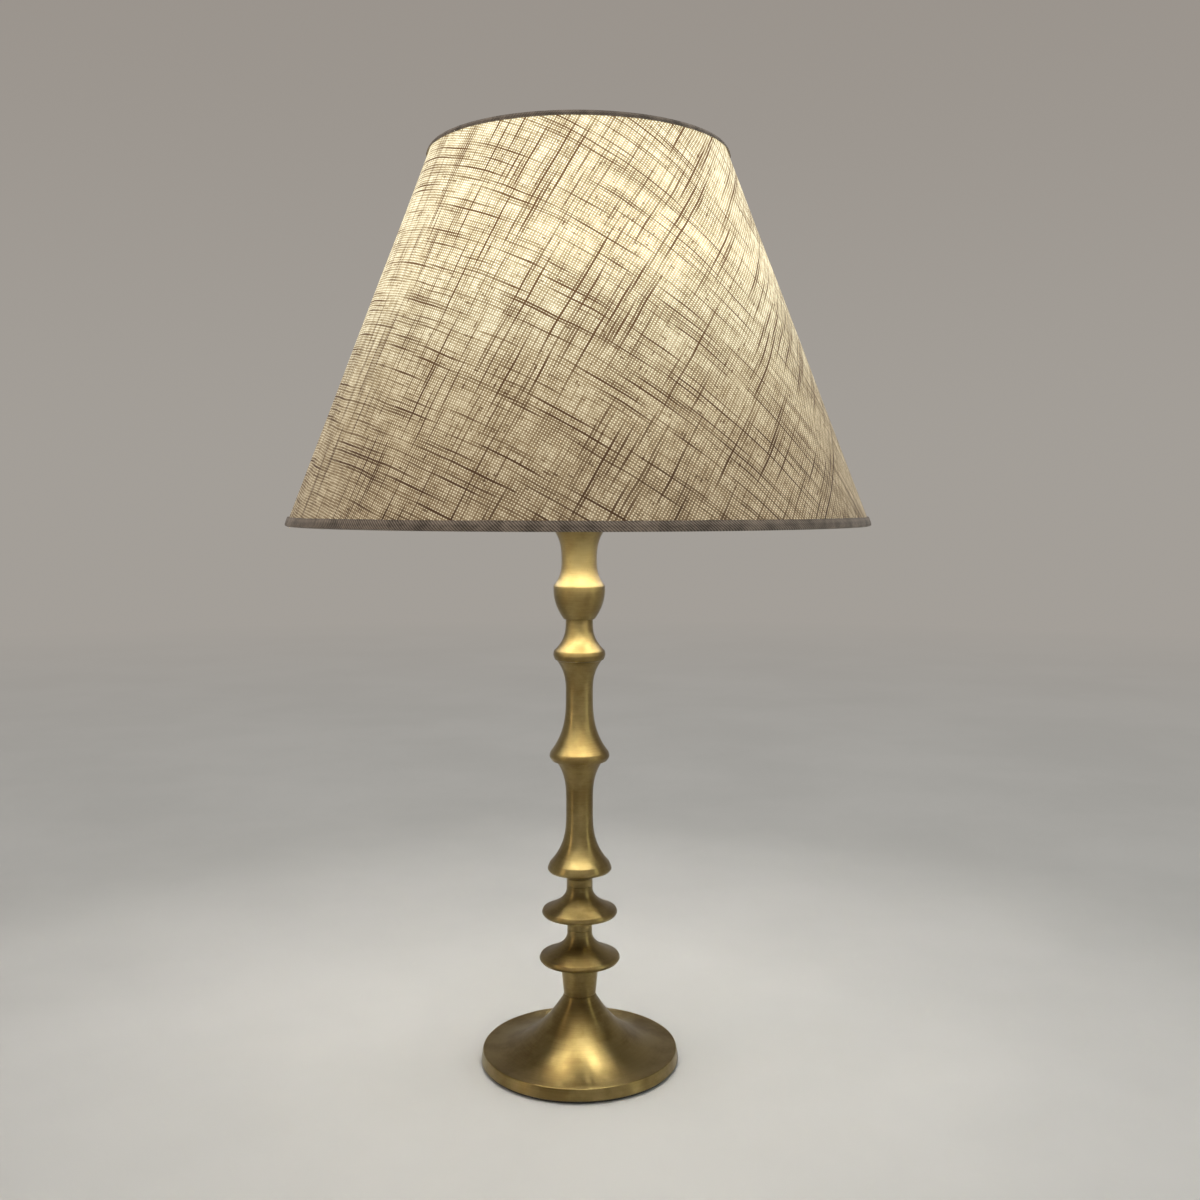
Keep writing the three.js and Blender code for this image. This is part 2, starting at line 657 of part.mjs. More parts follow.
function addShell() {
  const depth = THREAD_DEPTH;
  const startZ = SHELL_COLLAR;
  const crest = SHELL_CREST_RADIUS + depth;
  const inner = threadOutline(crest, depth, LAMP_PITCH, SHELL_TURNS, startZ);
  const outer = inner.map(([radius, z]) => [radius + SHELL_WALL, z]);
  const bottom = [SHELL_CREST_RADIUS, 0];
  const outline = [[SHELL_CREST_RADIUS + SHELL_WALL, 0], ...outer, ...inner.reverse(), bottom];
  addPiece("screw_shell", lathe([...outline, outline[0]]), "brass", shellSeat);
}

function addSkirt() {
  const inside = HOLDER_RADIUS - SKIRT_WALL;
  const lipZ = SKIRT_HEIGHT - SKIRT_LIP_THICK;
  const depth = RING_THREAD_DEPTH;
  const outline = [
    [HOLDER_RADIUS - depth, 0],
    ...threadOutline(HOLDER_RADIUS, depth, RING_PITCH, RING_THREAD_TURNS, SKIRT_THREAD_Z),
    [HOLDER_RADIUS - depth, SKIRT_HEIGHT],
    [SKIRT_LIP_RADIUS, SKIRT_HEIGHT],
    [SKIRT_LIP_RADIUS, lipZ],
    [inside, lipZ],
    [inside, 0],
  ];
  addPiece("holder_skirt", lathe([...outline, outline[0]]), "brass", insertSeat);
}

// The two threaded rings that hold the shade's carrier, and the washer under the upper one.
function addShadeRings() {
  const bore = HOLDER_RADIUS + RING_GAP;
  const lowerFlangeZ = LOWER_RING_HEIGHT - RING_FLANGE_THICK;
  const lower = [
    [RING_HUB_RADIUS, 0],
    [RING_HUB_RADIUS, lowerFlangeZ],
    [RING_FLANGE_RADIUS, lowerFlangeZ],
    [RING_FLANGE_RADIUS, LOWER_RING_HEIGHT],
  ];
  addPiece("lower_shade_ring", bored(lower, bore), "brass", lowerRingSeat);

  const upper = [
    [RING_FLANGE_RADIUS, 0],
    [RING_FLANGE_RADIUS, RING_FLANGE_THICK],
    [RING_HUB_RADIUS, RING_FLANGE_THICK],
    [RING_HUB_RADIUS, UPPER_RING_HEIGHT],
  ];
  addPiece("upper_shade_ring", bored(upper, bore), "brass", upperRingSeat);
  addPiece("shade_washer", washer(bore, WASHER_RING_RADIUS, WASHER_RING_THICK), "plastic", washerSeat);
}

function addLamp() {
  addPiece("bulb_contact", cylinder(TIP_RADIUS, TIP_THICK), "steel", tipSeat);

  const insulatorSeat = tipSeat + TIP_THICK + RUN_GAP;
  const insulator = lathe([
    [0, 0],
    [TIP_RADIUS, 0],
    [INSULATOR_RADIUS, INSULATOR_HEIGHT],
    [0, INSULATOR_HEIGHT],
  ]);
  addPiece("bulb_insulator", insulator, "bakelite", insulatorSeat);

  const capSeat = insulatorSeat + INSULATOR_HEIGHT;
  const threadTop = CAP_TURNS * LAMP_PITCH;
  const capHeight = threadTop + CAP_NECK_HEIGHT;
  const capRoot = CAP_CREST_RADIUS - THREAD_DEPTH;
  const cap = [
    ...threadOutline(CAP_CREST_RADIUS, THREAD_DEPTH, LAMP_PITCH, CAP_TURNS, 0),
    [capRoot, capHeight],
  ];
  addPiece("bulb_cap", bored(cap, CAP_INNER_RADIUS), "steel", capSeat);

  const bodySeat = capSeat + capHeight;
  const outside = flare(BODY_FOOT_RADIUS, 0, BODY_RADIUS, BODY_HEIGHT, 1 / BODY_POWER, 5);
  const inside = outside.map(([radius, z]) => [radius - BODY_WALL, z]).reverse();
  addPiece("bulb_body", lathe([...outside, ...inside, outside[0]]), "plastic", bodySeat);

  const boardShare = (BODY_HEIGHT - BOARD_DROP) / BODY_HEIGHT;
  const bodyInside = flareRadius(BODY_FOOT_RADIUS, BODY_RADIUS, 1 / BODY_POWER, boardShare) - BODY_WALL;
  const board = cylinder(bodyInside - FIT_GAP, BOARD_THICK);
  addPiece("bulb_led_board", board, "plastic", bodySeat + BODY_HEIGHT - BOARD_DROP);

  const globeSeat = bodySeat + BODY_HEIGHT;
  addPiece("bulb_globe", globe(), "glass", globeSeat);
}

// A hollow dome, more than half a ball, open where it stands on the lamp's body.
function globe() {
  const steps = 7;
  const centreZ = Math.sqrt(GLOBE_RADIUS ** 2 - BODY_RADIUS ** 2);
  const lowAngle = -Math.asin(centreZ / GLOBE_RADIUS);
  const arc = (radius) => {
    const points = [];
    for (let step = 0; step <= steps; step += 1) {
      const angle = lowAngle + ((Math.PI / 2 - lowAngle) * step) / steps;
      const across = step === steps ? 0 : radius * Math.cos(angle);
      points.push([across, centreZ + radius * Math.sin(angle)]);
    }
    return points;
  };
  const inner = arc(GLOBE_RADIUS - GLOBE_WALL);
  inner[0] = [BODY_RADIUS - GLOBE_WALL, 0];
  return lathe([...inner.reverse(), ...arc(GLOBE_RADIUS)]);
}

// Outer radius of the shade at a height above its lower edge.
function shadeRadius(z) {
  return SHADE_BOTTOM_RADIUS + ((SHADE_TOP_RADIUS - SHADE_BOTTOM_RADIUS) * z) / SHADE_HEIGHT;
}

// Depths below the hem's outside: each layer of the shade lies inside the one before.
const fabricDepth = HEM_THICK + LAYER_GAP;
const linerDepth = fabricDepth + FABRIC_THICK + LAYER_GAP;
const wireDepth = linerDepth + LINER_THICK + LAYER_GAP;
const innerLeafDepth = wireDepth + 2 * WIRE_RADIUS + LAYER_GAP;
const hemDepth = innerLeafDepth + HEM_THICK;
const panelBottom = HEM_EDGE_THICK + PANEL_INSET;
const panelTop = SHADE_HEIGHT - panelBottom;

function coneLayer(depth, thick) {
  const point = (under, z) => [shadeRadius(z) - under, z];
  return lathe([
    point(depth, panelBottom),
    point(depth, panelTop),
    point(depth + thick, panelTop),
    point(depth + thick, panelBottom),
    point(depth, panelBottom),
  ], SHADE_SIDES);
}

// The hem folds round the wire: an outer leaf, the edge and an inner leaf.
function hem(edgeZ, inward, band) {
  const point = (under, rise) => {
    const z = edgeZ + inward * rise;
    return [shadeRadius(z) - under, z];
  };
  const outline = [
    point(hemDepth, HEM_CHAMFER),
    point(hemDepth - HEM_CHAMFER, 0),
    point(HEM_CHAMFER, 0),
    point(0, HEM_CHAMFER),
    point(0, band),
    point(HEM_THICK, band),
    point(HEM_THICK, HEM_EDGE_THICK),
    point(innerLeafDepth, HEM_EDGE_THICK),
    point(innerLeafDepth, band),
    point(hemDepth, band),
    point(hemDepth, HEM_CHAMFER),
  ];
  return lathe(inward > 0 ? outline : outline.reverse(), SHADE_SIDES);
}

function wireRing(edgeZ, inward) {
  const z = edgeZ + inward * (panelBottom + WIRE_RADIUS);
  const radius = shadeRadius(z) - wireDepth - WIRE_RADIUS;
  return new THREE.TorusGeometry(radius, WIRE_RADIUS, WIRE_SIDES, SHADE_SIDES).translate(0, 0, z);
}

// A round rod that lies on the carrier ring, bends down and runs out to the lower wire.
function carrierArm() {
  const restZ = FITTER_RISE + FITTER_RING_THICK + ARM_RADIUS + FIT_GAP;
  const wireZ = panelBottom + WIRE_RADIUS;
  const leafRadius = (shadeRadius(BOTTOM_HEM_BAND) - hemDepth) * Math.cos(Math.PI / SHADE_SIDES);
  const outEnd = leafRadius - FIT_GAP;
  const inEnd = FITTER_RING_RADIUS - ARM_LAP;
  const bendEnd = FITTER_RING_RADIUS + 2 * ARM_LEVEL;
  const path = new THREE.CatmullRomCurve3([
    new THREE.Vector3(inEnd, 0, restZ),
    new THREE.Vector3(FITTER_RING_RADIUS + ARM_LEVEL / 2, 0, restZ),
    new THREE.Vector3(bendEnd, 0, restZ - ARM_RADIUS),
    new THREE.Vector3((bendEnd + outEnd) / 2, 0, (restZ + wireZ) / 2),
    new THREE.Vector3(outEnd - ARM_LEVEL, 0, wireZ + ARM_RADIUS),
    new THREE.Vector3(outEnd, 0, wireZ),
  ], false, "centripetal");
  const section = new THREE.Shape().absarc(0, 0, ARM_RADIUS, 0, 2 * Math.PI, false);
  return new THREE.ExtrudeGeometry(section, {
    steps: 14,
    curveSegments: ROD_SIDES / 2,
    bevelEnabled: false,
    extrudePath: path,
  });
}

function addShade() {
  const fitterBore = HOLDER_RADIUS + FITTER_RING_GAP;
  const fitter = washer(fitterBore, FITTER_RING_RADIUS, FITTER_RING_THICK);
  addPiece("fitter_ring", fitter, "steel", fitterSeat);
  for (let arm = 0; arm < ARM_COUNT; arm += 1) {
    const angle = Math.PI / 2 + (arm * 2 * Math.PI) / ARM_COUNT;
    addPiece(`spider_arm_${arm + 1}`, carrierArm().rotateZ(angle), "steel", shadeSeat);
  }
  addPiece("bottom_wire_ring", wireRing(0, 1), "steel", shadeSeat);
  addPiece("top_wire_ring", wireRing(SHADE_HEIGHT, -1), "steel", shadeSeat);
  addPiece("shade_liner", coneLayer(linerDepth, LINER_THICK), "liner", shadeSeat);
  addPiece("shade_fabric", coneLayer(fabricDepth, FABRIC_THICK), "linen", shadeSeat);
  addPiece("bottom_hem", hem(0, 1, BOTTOM_HEM_BAND), "hem", shadeSeat);
  addPiece("top_hem", hem(SHADE_HEIGHT, -1, TOP_HEM_BAND), "hem", shadeSeat);
}

addBase();
addTube();
addStem();
addHolderCap();
addSwitch();
addTerminals();
addInsert();
addShell();
addSkirt();
addShadeRings();
addLamp();
addShade();

export default lamp;
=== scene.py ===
"""A lit table lamp: a turned brass stem on a trumpet foot, under a tapered slub linen shade."""
import json
import math

import bmesh
import bpy
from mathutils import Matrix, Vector

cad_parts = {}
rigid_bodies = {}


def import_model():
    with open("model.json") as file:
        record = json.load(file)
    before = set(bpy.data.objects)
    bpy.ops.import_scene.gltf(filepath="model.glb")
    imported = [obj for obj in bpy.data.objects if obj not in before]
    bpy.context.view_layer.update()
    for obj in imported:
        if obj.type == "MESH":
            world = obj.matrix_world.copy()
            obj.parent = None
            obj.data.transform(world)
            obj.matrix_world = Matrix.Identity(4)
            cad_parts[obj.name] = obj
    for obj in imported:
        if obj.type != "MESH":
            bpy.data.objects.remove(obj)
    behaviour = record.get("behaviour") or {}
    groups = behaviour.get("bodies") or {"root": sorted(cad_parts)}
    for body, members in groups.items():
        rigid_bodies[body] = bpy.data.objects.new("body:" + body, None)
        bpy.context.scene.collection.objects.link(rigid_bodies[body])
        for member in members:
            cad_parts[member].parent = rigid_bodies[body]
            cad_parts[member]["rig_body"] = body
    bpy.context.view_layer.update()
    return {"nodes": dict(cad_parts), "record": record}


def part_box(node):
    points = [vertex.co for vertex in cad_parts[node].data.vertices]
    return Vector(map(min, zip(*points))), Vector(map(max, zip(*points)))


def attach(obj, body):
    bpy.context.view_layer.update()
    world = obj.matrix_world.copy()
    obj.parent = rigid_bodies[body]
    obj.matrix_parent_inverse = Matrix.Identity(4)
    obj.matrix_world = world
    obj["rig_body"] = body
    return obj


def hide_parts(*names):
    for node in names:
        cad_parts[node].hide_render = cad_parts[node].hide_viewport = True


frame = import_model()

MM = 0.001

# Camera, fitted to the photograph
CAMERA_PLACE = (0.0109, -0.660, 0.3014)
CAMERA_DIP = 4.555
CAMERA_LENS = 37.79

# Meshes
STEM_SIDES = 112
FOOT_SIDES = 160
SHADE_SIDES = 240
PIN_SIDES = 40
SHARP_ANGLE = 38.0
LEAST_TURN = 14.0
EDGE_RADIUS = 0.3
WIDE_EDGE_RADIUS = 0.5
SOFT_EDGE = 0.18
FLARE_STEPS = 26

# Base, in millimetres above its seat
RIM_RADIUS = 53.0
RIM_EDGE_RADIUS = 52.0
RIM_HEIGHT = 6.2
RIM_WALL = 1.5
FOOT_HEIGHT = 35.4
FOOT_SHOULDER_RADIUS = 9.3
FOOT_SHOULDER_DROP = 2.2
FOOT_TOP_RADIUS = 8.2
FOOT_TOP_THICK = 3.4
FOOT_CORE_RADIUS = 7.6
FOOT_ROOF_THICK = 2.0
FOOT_POWER = 2.5
FOOT_STEPS = 44
FOOT_ROOF_STEPS = 12
STEM_BORE = 5.3
FELT_RADIUS = 52.0
FELT_THICK = 1.5
NOTCH_WIDTH = 8.6
NOTCH_HEIGHT = 5.4
NOTCH_DEPTH = 5.5

# Stem, in millimetres above each piece's seat
COLLAR = {"height": 14.6, "bottom_radius": 8.6, "top_radius": 10.0}
LOWER_DISC = {
    "foot": (10.0, 0.2),
    "cove": (18.5, 3.0),
    "under": (20.8, 3.6),
    "rim": (21.6, 5.1),
    "edge": (20.9, 6.6),
    "neck": (6.7, 19.2),
    "power": 2.3,
    "height": 20.7,
}
UPPER_DISC = {
    "foot": (6.7, 3.3),
    "cove": (17.5, 7.5),
    "under": (19.4, 8.0),
    "rim": (20.1, 9.4),
    "edge": (19.6, 11.0),
    "neck": (6.95, 22.8),
    "power": 2.3,
    "height": 23.8,
}
LOWER_COLUMN = {
    "foot": (6.95, 3.5),
    "cove": (14.5, 7.6),
    "under": (16.2, 8.0),
    "rim": (17.05, 9.5),
    "edge": (15.9, 12.6),
    "neck": (7.17, 41.0),
    "power": 3.0,
    "waist": 45.0,
    "top": (12.3, 67.3),
    "top_power": 3.0,
}
UPPER_COLUMN = {
    "under": (14.6, 0.4),
    "rim": (15.9, 2.9),
    "edge": (15.4, 5.0),
    "neck": (7.18, 35.7),
    "power": 2.9,
    "waist": 37.5,
    "top": (11.8, 53.7),
    "top_power": 2.5,
}
NECK_RING = {
    "under": (12.9, 0.6),
    "rim": (13.75, 3.4),
    "edge": (13.35, 5.3),
    "neck": (7.17, 20.5),
    "power": 2.7,
    "height": 21.9,
}
BOWL = {"bottom_radius": 8.2, "rim": (13.55, 15.6), "power": 2.1, "height": 17.6}
CUP = {
    "edge_radius": 13.5,
    "waist": (9.3, 13.5),
    "flare": (14.0, 30.0),
    "power": 2.7,
    "lip": (14.6, 31.0),
    "lip_top": 32.5,
    "top": (13.4, 34.0),
}

# Lampholder, in millimetres above its seat
HOLDER_RADIUS = 19.4
CAP_OUTLINE = [(9.0, 0), (9.0, 5.0), (13.0, 5.6), (17.0, 8.2), (19.4, 12.5), (19.4, 22.5)]
CAP_INSIDE = [(18.2, 22.5), (18.2, 13.1), (15.8, 9.4), (13.0, 7.2), (5.3, 7.2)]
CAP_EDGE_RADIUS = 1.2
GRUB_HOLE_RADIUS = 1.55
GRUB_HOLE_LENGTH = 12.0
GRUB_HOLE_Z = 2.5
BAR_RADIUS = 2.2
BAR_HOLE_RADIUS = 2.7
BAR_HOLE_LENGTH = 60.0
BAR_Z = 16.5
BUTTON_RADIUS = 4.0
SKIRT_HEIGHT = 39.0
SKIRT_WALL = 1.4
SKIRT_LIP_RADIUS = 15.4
SKIRT_LIP_THICK = 1.8
THREAD_LEAD_IN = 1.2
RING_PITCH = 2.5
RING_THREAD_DEPTH = 0.5
RING_THREAD_SPAN = (2.5, 35.0)
RING_BORE = 19.9
RING_HUB_RADIUS = 22.5
RING_FLANGE_RADIUS = 26.5
RING_FLANGE_THICK = 1.7
RING_EDGE_RADIUS = 0.35
RING_RIB_COUNT = 48
RING_SIDES = 6 * RING_RIB_COUNT
RING_RIB_DEPTH = 0.45
CARRIER_BORE = 20.6
CARRIER_EDGE_RADIUS = 0.25

# Lamp
LAMP_PITCH = 3.629
LAMP_CREST_RADIUS = 12.9
LAMP_THREAD_DEPTH = 0.7
LAMP_THREAD_SPAN = (0.6, 18.1)
LAMP_CREST_TOP = 18.9
LAMP_CAP_INSIDE = 11.2
BODY_FOOT_RADIUS = 13.6
BODY_RADIUS = 24.6
BODY_HEIGHT = 33.5
BODY_WALL = 1.4
BODY_POWER = 1.6
GLOBE_RADIUS = 30.0
GLOBE_WALL = 1.2
DOME_STEPS = 24

# Shade, in millimetres above its lower edge
SHADE_BOTTOM_RADIUS = 150.0
SHADE_TOP_RADIUS = 76.2
SHADE_HEIGHT = 188.9
SHADE_SLOPE = (SHADE_BOTTOM_RADIUS - SHADE_TOP_RADIUS) / SHADE_HEIGHT
PANEL_INSET = 0.85
LINEN_DEPTH = 1.05
LINEN_GRID = (40, 480)
LINER_DEPTH = 2.0
LINER_TURN = 0.02
LINER_GRID = (8, 240)
SEAM_LAP = 10.0
SEAM_STEP = 0.34
WIRE_RADIUS = 1.25
WIRE_SIDES = 12
HEM_THICK = 0.5
HEM_LEAF_DEPTH = 5.4
HEM_EDGE_THICK = 0.55
HEM_EDGE_RADIUS = 0.45
BOTTOM_HEM_BAND = 4.6
TOP_HEM_BAND = 3.0
ARM_RADIUS = 1.5
ARM_SIDES = 14
ARM_PATH = [(27.5, 34.5), (34.5, 34.5), (45.0, 33.1), (93.28, 18.35), (134.56, 3.6), (141.7, 2.1)]
ARM_ANGLES = {"spider_arm_1": 90, "spider_arm_2": 210, "spider_arm_3": 330}

# Linen threads, on the shade's cloth laid flat
WARP = {"turn": 27.5, "pitch": 1.38, "seed": 3.0}
WEFT = {"turn": 120.5, "pitch": 1.28, "seed": 57.0}

# Light
GLOBE_COLOUR = (1.0, 0.98, 0.93)
GLOBE_STRENGTH = 128.0
# Painted light: strengths, reach and far tint of the globe's glow painted as emission on the liner and
# the linen.
FILM_GLOW = 2.4
LINEN_GLOW = 1.46
GLOW_REACH = 100.0
FAR_GLOW_TINT = (0.92, 0.81, 0.68)
ROOM_LEFT = (0.60, 0.565, 0.52)
ROOM_RIGHT = (0.60, 0.61, 0.61)
FLOOR_DARK = (0.420, 0.420, 0.412)
FLOOR_PALE = (0.460, 0.460, 0.452)
FLOOR_FADE = (450.0, 2500.0)
FLOOR_RINGS = (150.0, 400.0, 900.0, 2600.0, 6000.0, 14000.0)
FLOOR_SIDES = 48
BACKDROP_LOW = (0.370, 0.345, 0.315)
BACKDROP_HIGH = (0.325, 0.295, 0.265)
BACKDROP_TOP = (0.11, 0.095, 0.08)


class Shader:
    """The nodes of a new material or world, with short calls that add and join them."""

    def __init__(self, name, owners=bpy.data.materials, output="OutputMaterial"):
        self.owner = owners.new(name)
        self.owner.use_nodes = True
        self.tree = self.owner.node_tree
        self.tree.nodes.clear()
        self.output = output

    def node(self, kind, inputs=None, **settings):
        made = self.tree.nodes.new("ShaderNode" + kind)
        for key, value in settings.items():
            setattr(made, key, value)
        for key, value in (inputs or {}).items():
            self.put(made.inputs[key], value)
        return made

    def put(self, socket, value):
        if isinstance(value, bpy.types.NodeSocket):
            self.tree.links.new(value, socket)
        elif socket.type == "RGBA" and len(value) == 3:
            socket.default_value = (*value, 1.0)
        else:
            socket.default_value = value

    def math(self, operation, a, b=0.0):
        return self.node("Math", {0: a, 1: b}, operation=operation).outputs[0]

    def total(self, *values):
        result = values[0]
        for value in values[1:]:
            result = self.math("ADD", result, value)
        return result

    def times(self, *values):
        result = values[0]
        for value in values[1:]:
            result = self.math("MULTIPLY", result, value)
        return result

    def inverse(self, value):
        return self.math("SUBTRACT", 1.0, value)

    def rescale(self, value, low, high, to_low=0.0, to_high=1.0, smooth=True):
        """Maps a value from one span to another, held at the ends."""
        kind = "SMOOTHSTEP" if smooth else "LINEAR"
        spans = {"From Min": low, "From Max": high, "To Min": to_low, "To Max": to_high}
        made = self.node("MapRange", {"Value": value, **spans}, interpolation_type=kind)
        return made.outputs["Result"]

    def mix(self, share, first, second, blend="MIX"):
        inputs = {0: share, 6: first, 7: second}
        return self.node("Mix", inputs, data_type="RGBA", blend_type=blend).outputs[2]

    def vector(self, x, y=0.0, z=0.0):
        return self.node("CombineXYZ", {0: x, 1: y, 2: z}).outputs[0]

    def ramp(self, value, stops):
        """Colours along a scale: stops are (place, colour), from low to high."""
        made = self.node("ValToRGB", {0: value})
        elements = made.color_ramp.elements
        while len(elements) < len(stops):
            elements.new(0.5)
        for element, (place, colour) in zip(elements, stops):
            element.position = place
            element.color = (*colour, 1.0)
        return made.outputs[0]

    def noise(self, place, scale, detail=2.0, roughness=0.5, sizes="3D", w=None):
        inputs = {"Vector": place, "Scale": scale, "Detail": detail, "Roughness": roughness}
        if w is not None:
            inputs["W"] = w
        return self.node("TexNoise", inputs, noise_dimensions=sizes).outputs["Fac"]

    def place(self):
        """The object's own coordinates in millimetres, as a vector and three numbers."""
        inputs = {0: self.node("TexCoord").outputs["Object"], "Scale": 1 / MM}
        scaled = self.node("VectorMath", inputs, operation="SCALE").outputs[0]
        parts = self.node("SeparateXYZ", {0: scaled}).outputs
        return scaled, parts[0], parts[1], parts[2]

    def bump(self, height, strength, distance):
        inputs = {"Height": height, "Strength": strength, "Distance": distance}
        return self.node("Bump", inputs).outputs[0]

    def surface(self, shader):
        """Joins a shader to the output, and gives back the material or world."""
        self.node(self.output, {"Surface": shader})
        return self.owner

    def principled(self, inputs):
        return self.node("BsdfPrincipled", inputs).outputs[0]


def turned_lines(shader, fineness):
    """Fine lines that run round the axis, as a tool or a brush leaves them."""
    _, x, y, z = shader.place()
    radius = shader.math("SQRT", shader.total(shader.times(x, x), shader.times(y, y)))
    reach = shader.math("MAXIMUM", radius, 0.01)
    around_x = shader.math("DIVIDE", x, reach)
    around_y = shader.math("DIVIDE", y, reach)
    along = shader.times(z, fineness)
    where = shader.vector(shader.times(around_x, 1.3), shader.times(around_y, 1.3), along)
    return shader.noise(where, 1.0, 2.0, 0.5, "4D", shader.times(radius, fineness))


def brass(name, deep, bright, roughness, anisotropy):
    """Satin brass, brushed round its turning, with darker patches in its lacquer."""
    shader = Shader(name)
    where, _, _, _ = shader.place()
    lines = turned_lines(shader, 1.5)
    patches = shader.noise(where, 0.045, 4.0, 0.6)
    specks = shader.noise(where, 0.55, 3.0, 0.6)
    tone = shader.rescale(patches, 0.36, 0.66)
    worn = shader.total(shader.times(tone, 0.8), shader.times(shader.rescale(lines, 0.3, 0.7), 0.2))
    colour = shader.mix(worn, deep, bright)
    flecks = shader.rescale(specks, 0.64, 0.78, 0.0, 0.25)
    colour = shader.mix(flecks, colour, tuple(0.45 * part for part in deep))
    gloss = shader.rescale(lines, 0.25, 0.75, roughness - 0.03, roughness + 0.03, smooth=False)
    gloss = shader.total(gloss, shader.rescale(patches, 0.35, 0.7, 0.05, -0.03))
    tangent = shader.node("Tangent", direction_type="RADIAL", axis="Z").outputs[0]
    return shader.surface(shader.principled({
        "Base Color": colour,
        "Metallic": 1.0,
        "Roughness": gloss,
        "Anisotropic": anisotropy,
        "Anisotropic Rotation": 0.25,
        "Tangent": tangent,
    }))


def plain_metal(name, deep, bright, roughness, grain):
    """Plated or cast metal: tone and gloss vary in fine grain and wider patches."""
    shader = Shader(name)
    where, _, _, _ = shader.place()
    fine = shader.noise(where, grain, 4.0, 0.6)
    wide = shader.noise(where, grain / 9, 3.0, 0.5)
    blend = shader.total(shader.times(fine, 0.5), shader.times(wide, 0.5))
    return shader.surface(shader.principled({
        "Base Color": shader.mix(shader.rescale(blend, 0.38, 0.62), deep, bright),
        "Metallic": 1.0,
        "Roughness": shader.rescale(fine, 0.3, 0.7, roughness - 0.07, roughness + 0.08, smooth=False),
        "Normal": shader.bump(fine, 0.2, 0.08 * MM),
    }))


def moulded(name, deep, pale, roughness, grain, relief):
    """A moulded or fired material with a faint mottle and a fine skin."""
    shader = Shader(name)
    where, _, _, _ = shader.place()
    mottle = shader.noise(where, grain, 4.0, 0.55)
    skin = shader.noise(where, grain * 8, 2.0, 0.5)
    return shader.surface(shader.principled({
        "Base Color": shader.mix(shader.rescale(mottle, 0.35, 0.65), deep, pale),
        "Roughness": shader.rescale(skin, 0.3, 0.7, roughness - 0.06, roughness + 0.06, smooth=False),
        "Normal": shader.bump(skin, relief, 0.05 * MM),
    }))


def felt():
    shader = Shader("felt_pressed")
    where, _, _, _ = shader.place()
    fibres = shader.noise(where, 2.6, 5.0, 0.75)
    clumps = shader.noise(where, 0.35, 3.0, 0.6)
    blend = shader.total(shader.times(fibres, 0.6), shader.times(clumps, 0.4))
    blend = shader.rescale(blend, 0.35, 0.65)
    return shader.surface(shader.principled({
        "Base Color": shader.mix(blend, (0.009, 0.008, 0.007), (0.045, 0.041, 0.036)),
        "Roughness": 0.97,
        "Sheen Weight": 0.2,
        "Normal": shader.bump(fibres, 0.8, 0.3 * MM),
    }))


def cloth_flat(shader):
    """Where a point of the shade lies, in millimetres, on its cone opened out flat."""
    slant = math.sqrt(1 + SHADE_SLOPE ** 2)
    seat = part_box("bottom_hem")[0].z / MM
    tip = seat + SHADE_BOTTOM_RADIUS / SHADE_SLOPE
    _, x, y, z = shader.place()
    reach = shader.times(shader.math("SUBTRACT", tip, z), slant)
    angle = shader.math("ARCTAN2", x, shader.times(y, -1.0))
    turn = shader.times(angle, SHADE_SLOPE / slant)
    u = shader.times(reach, shader.math("SINE", turn))
    v = shader.times(reach, shader.math("COSINE", turn))
    return u, v


def thread_family(shader, flat, family):
    """One set of parallel threads: its relief, its long dark lines, its slubs and its tone."""
    u, v = flat
    turn = math.radians(family["turn"])
    seed = family["seed"]
    along = shader.total(shader.times(u, -math.sin(turn)), shader.times(v, math.cos(turn)))
    across = shader.total(shader.times(u, math.cos(turn)), shader.times(v, math.sin(turn)))
    slow = shader.vector(shader.times(along, 0.022), shader.times(across, 0.03), seed)
    drift = shader.noise(slow, 1.0)
    across = shader.total(across, shader.times(drift, 3.2))
    count = shader.math("DIVIDE", across, family["pitch"])
    index = shader.math("FLOOR", count)
    side = shader.math("SUBTRACT", shader.times(shader.math("FRACT", count), 2.0), 1.0)
    relief = shader.inverse(shader.times(side, side))

    def yarn(step, length, shift, detail=1.0):
        place = shader.vector(shader.times(index, step), shader.times(along, 1 / length), seed + shift)
        return shader.noise(place, 1.0, detail)

    wide = shader.vector(shader.times(across, 0.07), shader.times(along, 0.012), seed + 9)
    crowd = shader.noise(wide, 1.0)
    line = shader.total(yarn(5.31, 60.0, 0.0), shader.times(crowd, 0.12))
    dark = shader.math("POWER", shader.rescale(line, 0.565, 0.75, smooth=False), 1.5)
    slub = shader.rescale(yarn(1.9, 4.5, 40.0, 2.0), 0.60, 0.76)
    body = shader.total(yarn(3.17, 11.0, 80.0), shader.times(dark, 0.3), shader.times(slub, 0.3))
    edge = shader.rescale(body, 0.34, 0.84, 0.80, 0.36, smooth=False)
    cover = shader.rescale(shader.math("SUBTRACT", relief, edge), -0.05, 0.12)
    return {"relief": relief, "dark": dark, "slub": slub, "body": body, "cover": cover, "index": index}


